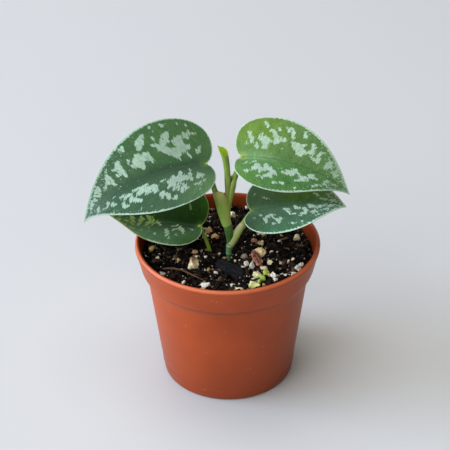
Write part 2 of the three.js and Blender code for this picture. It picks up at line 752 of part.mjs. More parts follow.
addPiece('pot', makePot(), colours.pot, 0.45);
addPiece('soil', cutAll(addGrains(makeSoilBody()),
  [...bedded, stemCutter, makeRoots(gap), leftStalkCutter]), colours.soil, 0.95);
addPiece('charcoal_chip', cutAll(makeChip(charcoal, charcoalOutline), [stemCutter]), colours.charcoal, 0.8);
addPiece('bark_chip', cutAll(makeChip(bark, barkOutline), stoneCutters), colours.bark, 0.85);
addPiece('gravel_left', makeStone(gravelLeft), colours.gravelPale, 0.8);
addPiece('gravel_right', makeStone(gravelRight), colours.gravelTan, 0.8);
addPiece('twig', rod(twigStations, { sides: 6, steps: 2 }), colours.twig, 0.9);

addPiece('stem', makeStem().add(cutAll(makeRoots(), [leftStalkCutter])), colours.stem, 0.5);
addPiece('petiole_upper_left', cutAll(makeStalk(stalks.upper_left),
  [stemCutter, rightStalkCutter, spearCutter, leafCutters.upper_left]), colours.stalk, 0.5);
addPiece('petiole_upper_right', cutAll(makeStalk(stalks.upper_right),
  [stemCutter, spearCutter, leafCutters.upper_right]), colours.stalk, 0.5);
addPiece('petiole_lower_left', cutAll(makeStalk(stalks.lower_left),
  [stemCutter, leafCutters.lower_left]), colours.stalkDark, 0.5);
addPiece('petiole_lower_right', cutAll(makeStalk(stalks.lower_right),
  [stemCutter, leafCutters.lower_right]), colours.stalk, 0.5);
addPiece('new_leaf', makeSpear(), colours.spear, 0.45);
addPiece('leaf_upper_left', makeBlade(leaves.upper_left), colours.upperLeft, 0.5);
addPiece('leaf_upper_right', makeBlade(leaves.upper_right), colours.upperRight, 0.5);
addPiece('leaf_lower_left', makeBlade(leaves.lower_left), colours.lowerLeft, 0.5);
addPiece('leaf_lower_right', makeBlade(leaves.lower_right), colours.lowerRight, 0.5);

export default plant;
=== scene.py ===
import math

import bmesh
import bpy
import numpy as np
from mathutils import Matrix, Vector, noise


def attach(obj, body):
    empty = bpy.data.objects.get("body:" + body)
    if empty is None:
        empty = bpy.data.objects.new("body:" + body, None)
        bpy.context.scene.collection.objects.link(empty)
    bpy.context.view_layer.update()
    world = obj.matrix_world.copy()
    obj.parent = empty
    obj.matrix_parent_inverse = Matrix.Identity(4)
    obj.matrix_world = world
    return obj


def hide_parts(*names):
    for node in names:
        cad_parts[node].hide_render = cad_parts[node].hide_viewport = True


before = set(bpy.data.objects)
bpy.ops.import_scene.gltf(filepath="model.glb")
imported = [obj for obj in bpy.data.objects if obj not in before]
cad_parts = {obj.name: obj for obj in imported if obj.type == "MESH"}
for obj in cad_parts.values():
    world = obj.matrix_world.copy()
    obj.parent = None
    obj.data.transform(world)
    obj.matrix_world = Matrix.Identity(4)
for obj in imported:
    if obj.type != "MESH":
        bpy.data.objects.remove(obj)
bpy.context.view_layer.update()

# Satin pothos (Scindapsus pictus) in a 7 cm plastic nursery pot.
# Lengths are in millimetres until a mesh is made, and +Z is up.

mm = 0.001
fullTurn = 2 * math.pi

camera = {
    "aim": (-0.92, 0, 63.96),
    "distance": 600,
    "elevation": 32.48,
    "roll": -0.47,
    "lens": 127.92,
    "sensor": 36,
    "nearClip": 10,
}

# Soft boxes: cool daylight low on the left, weaker and warmer ones behind, above and in front.
lights = {
    "window": {"place": (-3290, 0, 1250), "size": 2500, "power": 153, "colour": "#e1edff"},
    "backLeft": {"place": (-495, 495, 1272), "size": 1000, "power": 5.9, "colour": "#fffdf8"},
    "back": {"place": (0, 1147, 863), "size": 1000, "power": 2.9, "colour": "#fff6e6"},
    "ceiling": {"place": (49, 0, 1459), "size": 1000, "power": 6.5, "colour": "#fff6e4"},
    "frontLeft": {"place": (-758, -758, 960), "size": 1000, "power": 9.4, "colour": "#fafeff"},
    "front": {"place": (0, -1212, 760), "size": 1000, "power": 4.7, "colour": "#fff8df"},
}
room = {"colour": "#eef1f6", "strength": 0.05}
floor = {"size": 6000, "colour": "#c3c6cc", "roughness": 0.85}


def toLinear(hexColour):
    channels = [int(hexColour[i:i + 2], 16) / 255 for i in (1, 3, 5)]
    return tuple(c / 12.92 if c <= 0.04045 else ((c + 0.055) / 1.055) ** 2.4 for c in channels) + (1,)


# Noise scale in object coordinates for features of a size in millimetres.
def perSize(size):
    return 1 / (size * mm)


# Adds a node and gives one of its outputs. inputs are values, hex colours or sockets, by name or
# number, and stops are a ramp's places and colours.
def addNode(tree, kind, inputs=None, out=0, stops=(), **settings):
    node = tree.nodes.new("ShaderNode" + kind)
    for key, value in settings.items():
        setattr(node, key, value)
    for key, value in (inputs or {}).items():
        if isinstance(value, bpy.types.NodeSocket):
            tree.links.new(value, node.inputs[key])
        else:
            node.inputs[key].default_value = toLinear(value) if isinstance(value, str) else value
    if stops:
        ramp = node.color_ramp.elements
        while len(ramp) < len(stops):
            ramp.new(0.5)
        for element, (place, colour) in zip(ramp, stops):
            element.position = place
            element.color = toLinear(colour)
    return node.outputs[out]


def newMaterial(name, roughness, ior, gloss=0.5, extra=None):
    material = bpy.data.materials.new(name)
    material.use_nodes = True
    shader = material.node_tree.nodes["Principled BSDF"]
    values = {"Roughness": roughness, "IOR": ior, "Specular IOR Level": gloss, **(extra or {})}
    for key, value in values.items():
        shader.inputs[key].default_value = value
    return material, material.node_tree


# Lays tints over a colour. A layer is (source, start, end, strength, tint): its mask goes from 0 to its
# strength as the source goes from start to end.
def layTints(tree, colour, layers):
    for source, start, end, strength, tint in layers:
        mask = addNode(tree, "MapRange", {0: source, 1: start, 2: end, 4: strength})
        colour = addNode(tree, "Mix", {0: mask, 6: colour, 7: tint}, 2, data_type="RGBA")
    return colour


# Gives a material its colour, a relief of some strength and depth in millimetres, and its roughness.
def finishMaterial(material, colour, relief, strength, depth, roughness=None):
    tree = material.node_tree
    shader = tree.nodes["Principled BSDF"]
    bump = addNode(tree, "Bump", {"Height": relief, "Strength": strength, "Distance": depth * mm})
    for key, socket in (("Base Color", colour), ("Normal", bump), ("Roughness", roughness)):
        if socket is not None:
            tree.links.new(socket, shader.inputs[key])
    return material


def addObject(name, data):
    thing = bpy.data.objects.new(name, data)
    bpy.context.collection.objects.link(thing)
    return thing


def makeStudio():
    scene = bpy.context.scene
    scene.view_settings.view_transform = "Standard"
    scene.world = bpy.data.worlds.new("room")
    scene.world.use_nodes = True
    background = scene.world.node_tree.nodes["Background"].inputs
    background["Color"].default_value = toLinear(room["colour"])
    background["Strength"].default_value = room["strength"]

    aim = Vector(camera["aim"]) * mm
    elevation = math.radians(camera["elevation"])
    back = Vector((0, -math.cos(elevation), math.sin(elevation)))
    data = bpy.data.cameras.new("camera")
    data.sensor_width = camera["sensor"]
    data.lens = camera["lens"]
    data.clip_start = camera["nearClip"] * mm
    scene.camera = addObject("camera", data)
    scene.camera.matrix_world = (
        Matrix.Translation(aim + back * camera["distance"] * mm)
        @ Matrix.Rotation(math.pi / 2 - elevation, 4, "X")
        @ Matrix.Rotation(math.radians(camera["roll"]), 4, "Z"))

    for name, light in lights.items():
        data = bpy.data.lights.new(name, "AREA")
        data.shape = "DISK"
        data.size = light["size"] * mm
        data.energy = light["power"]
        data.color = toLinear(light["colour"])[:3]
        lamp = addObject(name, data)
        lamp.location = Vector(light["place"]) * mm
        lamp.rotation_euler = (aim - lamp.location).to_track_quat("-Z", "Y").to_euler()

    half = floor["size"] / 2 * mm
    sheet = bpy.data.meshes.new("floor")
    corners = [(-half, -half, 0), (half, -half, 0), (half, half, 0), (-half, half, 0)]
    sheet.from_pydata(corners, [], [(0, 1, 2, 3)])
    # matte painted board: even and without gloss
    paint = {"Base Color": toLinear(floor["colour"])}
    sheet.materials.append(newMaterial("mattePaintedBoard", floor["roughness"], 1.5, 0, paint)[0])
    addObject("floor", sheet)


makeStudio()
print("studio ready")


# Makes a piece from vertices in millimetres. values are numbers or vectors for each vertex.
def makePiece(name, vertices, faces, material, replaces=(), values=None):
    mesh = bpy.data.meshes.new(name)
    mesh.from_pydata((np.asarray(vertices, float) * mm).tolist(), [], faces)
    for key, data in (values or {}).items():
        data = np.asarray(data, np.float32)
        kind, field = ("FLOAT", "value") if data.ndim == 1 else ("FLOAT_VECTOR", "vector")
        mesh.attributes.new(key, kind, "POINT").data.foreach_set(field, data.ravel())
    mesh.materials.append(material)
    mesh.shade_smooth()
    piece = addObject(name, mesh)
    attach(piece, "root")
    if replaces:
        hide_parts(*replaces)
    return piece


# Replaces a piece's mesh with what its modifiers make of it.
def applyModifiers(piece):
    depsgraph = bpy.context.evaluated_depsgraph_get()
    piece.data = bpy.data.meshes.new_from_object(piece.evaluated_get(depsgraph))
    piece.modifiers.clear()


# Quads between neighbouring rings of the same size, closed round each ring.
def ringFaces(rings, size):
    ring, i = np.meshgrid(np.arange(rings - 1), np.arange(size), indexing="ij")
    j = (i + 1) % size
    quads = np.stack([ring * size + i, ring * size + j, (ring + 1) * size + j, (ring + 1) * size + i], -1)
    return quads.reshape(-1, 4).tolist()


# Faces of a loft with both ends closed. The first half of each ring faces its second half.
def loftFaces(rings, size):
    faces = ringFaces(rings, size)
    last = (rings - 1) * size
    for i in range(size // 2 - 1):
        j = size - 1 - i
        faces.append([i, j, j - 1, i + 1])
        faces.append([last + i, last + i + 1, last + j - 1, last + j])
    return faces


def unit(vectors):
    return vectors / np.linalg.norm(vectors, axis=-1, keepdims=True)


# Level direction at an angle from +X, in degrees.
def levelWay(compass):
    turn = math.radians(compass)
    return np.array([math.cos(turn), math.sin(turn), 0])


# Centres, tangents and values on a smooth curve through stations of x, y, z and values, with steps
# between two stations.
def alongStations(stations, steps):
    table = np.array(stations, float)
    padded = np.vstack([2 * table[0] - table[1], table, 2 * table[-1] - table[-2]])
    t = (np.arange(steps) / steps)[:, None]
    runs = []
    for a, b, c, d in zip(padded, padded[1:], padded[2:], padded[3:]):
        runs.append(0.5 * (2 * b + (c - a) * t + (2 * a - 5 * b + 4 * c - d) * t ** 2
                           + (3 * b - a - 3 * c + d) * t ** 3))
    curve = np.vstack(runs + [table[-1:]])
    return curve[:, :3], unit(np.gradient(curve[:, :3], axis=0)), curve[:, 3:].T


# Two directions square to each tangent, the first towards the compass direction.
def crossAxes(tangents, compass):
    towards = levelWay(compass)
    first = unit(towards - (tangents @ towards)[:, None] * tangents)
    return first, np.cross(tangents, first)


# A round tube through stations with a radius, and its surface coordinates for the fibres. ripple is
# how deep the radius waves, how many waves go round and how far they turn from ring to ring.
def tube(stations, steps, sides, compass, ripple):
    centres, tangents, (radius,) = alongStations(stations, steps)
    first, second = crossAxes(tangents, compass)
    turn = np.arange(sides) / sides * fullTurn
    depth, waves, drift = ripple
    ring = np.arange(len(centres))[:, None]
    reach = (radius[:, None] * (1 + depth * np.cos(waves * turn + drift * ring)))[..., None]
    ways = first[:, None] * np.cos(turn)[:, None] + second[:, None] * np.sin(turn)[:, None]
    points = (centres[:, None] + reach * ways).reshape(-1, 3)
    circle = np.tile(np.stack([np.cos(turn), np.sin(turn)], 1), (len(centres), 1))
    fibre = np.column_stack([np.repeat(0.4 * ring, sides), circle])
    return points, loftFaces(len(centres), sides), fibre


# Fractal noise at points, in about -1 to 1, with lumps of one size in millimetres. A seed moves the noise.
def lumpiness(points, size, octaves=3, seed=0):
    shift = Vector((seed * 7.3, seed * 3.1, seed * 1.7))
    return np.array([noise.fractal(Vector(p) / size + shift, 1, 2, octaves) for p in points])


# The pot, in moulded plastic.
pot = {
    "height": 57.5,
    "rimRadius": 35,
    "lipWidth": 1.9,
    "bandRadius": 32.9,
    "bandDepth": 10.5,
    "shoulderDepth": 3,
    "neckRadius": 30.7,
    "footRadius": 24.6,
    "footFlare": 0.5,  # how much wider the body starts, 1 mm above the ground
    "wall": 1.25,
    "floorThickness": 2.2,
    "recess": 1,
    "bossRadius": 6,
    "footWidth": 4.5,
    "ringHeight": 5,
    "ringProud": 0.12,
    "sides": 176,
    "longestStep": 2.2,
    "drainHoles": 5,
    "drainRadius": 2.6,
    "drainCircle": 13,
    "colour": "#ab4717",
    "deepColour": "#9b3d10",
    "dustColour": "#e6c3b0",
    "dirtColour": "#33201a",
    "filmAndShadeColour": "#5a2412",
    "lipHighlightColour": "#cc6f4c",
    "footShadeColour": "#8a3a18",
}

bandHeight = pot["height"] - pot["bandDepth"]
neckHeight = bandHeight - pot["shoulderDepth"]


# Outside radius of the tapered body, under the shoulder.
def bodyRadius(z):
    share = min(max((z - 1) / (neckHeight - 1), 0), 1)
    low = pot["footRadius"] + pot["footFlare"]
    return low + (pot["neckRadius"] - low) * share


# Rounds a profile's corners: each point is radius, height and the corner's own radius.
def roundProfile(points, arcSteps=5):
    out = []
    for i, (x, y, corner) in enumerate(points):
        here = np.array([x, y], float)
        if corner == 0 or i in (0, len(points) - 1):
            out.append(here)
            continue
        before, after = np.array(points[i - 1][:2]) - here, np.array(points[i + 1][:2]) - here
        reach = min(corner, 0.48 * np.linalg.norm(before), 0.48 * np.linalg.norm(after))
        start, end = here + unit(before) * reach, here + unit(after) * reach
        for t in np.arange(arcSteps + 1) / arcSteps:
            out.append((1 - t) ** 2 * start + 2 * t * (1 - t) * here + t ** 2 * end)
    return np.array(out)


# Splits the long runs of a profile, so that no step is longer than reach.
def fillProfile(profile, reach):
    out = [profile[0]]
    for a, b in zip(profile, profile[1:]):
        count = max(1, math.ceil(np.linalg.norm(b - a) / reach))
        out += [a + (b - a) * (k + 1) / count for k in range(count)]
    return np.array(out)


# Spins a profile that starts and ends on the axis.
def spin(profile, sides):
    turn = np.arange(sides) / sides * fullTurn
    inner = profile[1:-1]
    rings = np.stack([inner[:, :1] * np.cos(turn), inner[:, :1] * np.sin(turn),
                      np.repeat(inner[:, 1:], sides, 1)], -1)
    vertices = np.vstack([rings.reshape(-1, 3), [[0, 0, profile[0][1]], [0, 0, profile[-1][1]]]])
    faces = ringFaces(len(inner), sides)
    bottom, top = len(vertices) - 2, len(vertices) - 1
    last = (len(inner) - 1) * sides
    for i in range(sides):
        j = (i + 1) % sides
        faces.append([bottom, j, i])
        faces.append([top, last + i, last + j])
    return vertices, faces


# Injection-moulded polypropylene: satin, slightly waxy, with faint flow clouds and a little dust
def polypropyleneMaterial():
    material, tree = newMaterial("injectionMouldedPolypropylene", 0.42, 1.49, 0.3)
    place = addNode(tree, "TexCoord", out="Object")
    lipLightFootShade, dirtAndShade = (addNode(tree, "Attribute", out="Fac", attribute_name=key) for key in ("lipLightFootShade", "dirtAndShade"))
    # clouds 17 mm across
    clouds = addNode(tree, "TexNoise", {"Vector": place, "Scale": perSize(16.7), "Detail": 3})
    body = addNode(tree, "ValToRGB", {0: clouds}, stops=[(0.3, pot["deepColour"]), (0.62, pot["colour"])])
    # dust specks up to 0.5 mm across, a few to the square centimetre
    cells = addNode(tree, "TexVoronoi", {"Vector": place, "Scale": perSize(2.38)}, "Distance")
    spread = addNode(tree, "TexNoise", {"Vector": place, "Scale": perSize(4.17), "Detail": 1})
    near = addNode(tree, "MapRange", {0: cells, 1: 0.15, 2: 0.08})
    few = addNode(tree, "MapRange", {0: spread, 1: 0.64, 2: 0.68})
    specks = addNode(tree, "Math", {0: near, 1: few}, operation="MULTIPLY")
    # soil splashed on the inside in blots of 2.4 mm
    blotInputs = {"Vector": place, "Scale": perSize(2.38), "Detail": 4, "Roughness": 0.7}
    blots = addNode(tree, "TexNoise", blotInputs)
    splashed = addNode(tree, "Math", {0: dirtAndShade, 1: blots}, operation="ADD")
    colour = layTints(tree, body, [
        (lipLightFootShade, 0, -1, 1, pot["footShadeColour"]),  # painted shade: the outside darkens towards the foot
        (lipLightFootShade, 0, 1, 1, pot["lipHighlightColour"]),  # painted highlight: the lip is lighter
        (specks, 0, 1, 0.26, pot["dustColour"]),
        (dirtAndShade, 0, 0.5, 0.6, pot["filmAndShadeColour"]),  # soil film and painted shade inside, painted shade in the crease under the band
        (splashed, 1.02, 1.16, 1, pot["dirtColour"]),
    ])
    fine = addNode(tree, "TexNoise", {"Vector": place, "Scale": perSize(0.385), "Detail": 2})
    rough = addNode(tree, "MapRange", {0: clouds, 1: 0.3, 2: 0.7, 3: 0.36, 4: 0.47})
    return finishMaterial(material, colour, fine, 0.05, 0.1, rough)


def makePot():
    height, rim, lip = pot["height"], pot["rimRadius"], pot["lipWidth"]
    band, neck, foot = pot["bandRadius"], pot["neckRadius"], pot["footRadius"]
    wall, under, recess = pot["wall"], pot["floorThickness"], pot["recess"]
    ring, ringRadius = pot["ringHeight"], bodyRadius(pot["ringHeight"]) + pot["ringProud"]
    profile = roundProfile([
        (0, 0, 0),
        (pot["bossRadius"], 0, 0.3),
        (pot["bossRadius"] + recess, recess, 0.3),
        (foot - pot["footWidth"] - recess, recess, 0.3),
        (foot - pot["footWidth"], 0, 0.3),
        (foot - 0.3, 0, 0.5),
        (foot + pot["footFlare"], 1, 0.6),
        (bodyRadius(ring - 0.35), ring - 0.35, 0.15),
        (ringRadius, ring - 0.1, 0.1),
        (ringRadius, ring + 0.1, 0.1),
        (bodyRadius(ring + 0.35), ring + 0.35, 0.15),
        (neck, neckHeight, 1.6),
        (band - 0.45, bandHeight - 0.7, 0.7),
        (band, bandHeight + 0.4, 0.7),
        (rim - 0.5, height - 3, 0.6),
        (rim, height - 1.9, 0.5),
        (rim, height - 0.75, 0.6),
        (rim - 0.75, height, 0.6),
        (rim - lip + 0.45, height - 0.1, 0.4),
        (rim - lip, height - 1, 0.6),
        (band - wall, bandHeight, 1),
        (neck - wall, neckHeight, 1),
        (bodyRadius(under) - wall, under, 1),
        (0, under, 0),
    ])
    vertices, faces = spin(fillProfile(profile, pot["longestStep"]), pot["sides"])
    x, y, z = vertices.T
    wallOut = np.interp(z, [1, neckHeight, bandHeight, height], [foot + pot["footFlare"], neck, band, rim])
    inside = np.hypot(x, y) < wallOut - 0.7
    # the inside above 20 mm is darkened, most just above the soil, partly as soil film and partly as painted
    # shade; a thin line of painted shade lies in the crease under the band
    level = np.clip(1 - (z - 51) / 5.5, 0, 1)
    crease = 0.3 * np.exp(-((z - bandHeight + 0.9) / 0.55) ** 2)
    dirtAndShade = np.where(inside & (z > 20), 0.2 + 0.42 * level, crease)
    # painted highlight along the outside of the lip, and painted shade that darkens the outside towards the
    # foot
    lipHighlight = np.clip((z - height + 1.3) / 0.8, 0, 0.75)
    lipLightFootShade = np.where(inside, 0, lipHighlight - 0.8 * np.clip(1 - z / 30, 0, 1))
    piece = makePiece("nurseryPot", vertices, faces, polypropyleneMaterial(), ["pot"],
                      {"dirtAndShade": dirtAndShade, "lipLightFootShade": lipLightFootShade})

    # drain holes are taken out of the floor with plain cylinders
    cutters = bmesh.new()
    for i in range(pot["drainHoles"]):
        centre = Vector(levelWay((i + 0.5) / pot["drainHoles"] * 360)) * pot["drainCircle"] * mm
        bmesh.ops.create_cone(cutters, cap_ends=True, segments=40, radius1=pot["drainRadius"] * mm,
                              radius2=pot["drainRadius"] * mm, depth=4 * pot["floorThickness"] * mm,
                              matrix=Matrix.Translation(centre))
    mesh = bpy.data.meshes.new("drainCutters")
    cutters.to_mesh(mesh)
    cutter = addObject("drainCutters", mesh)
    piece.modifiers.new("drain", "BOOLEAN").object = cutter
    applyModifiers(piece)
    bpy.data.objects.remove(cutter)
    piece.data.set_sharp_from_angle(angle=math.radians(50))


makePot()
print("pot ready")

# What the four leaf blades share.
blade = {
    "rows": 168,
    "columns": 54,  # from the midrib to the margin
    "thickness": 0.46,
    "marginThickness": 0.2,
    "marginBulge": 0.07,
    "ribDepth": 0.85,
    "ribWidth": 0.75,
    "grooveDepth": 0.12,
    "grooveWidth": 1.3,
    "crease": 2.1,  # how wide the fold at the midrib is rounded
    "wave": 0.3,
    "veinLift": 0.012,
    "veinSpacing": 3.4,
    "merge": 0.3,  # gap in millimetres that two strokes close between them
    "fanShare": 0.4,  # share of the outline whose side veins all start at the foot
    "midribPoints": 600,
    "outlinePoints": 420,
    # painted shade along the midrib crease
    "ribShade": "#2c4a2e",
    "underside": "#6f9565",
    "undersideVeins": "#9db583",
}
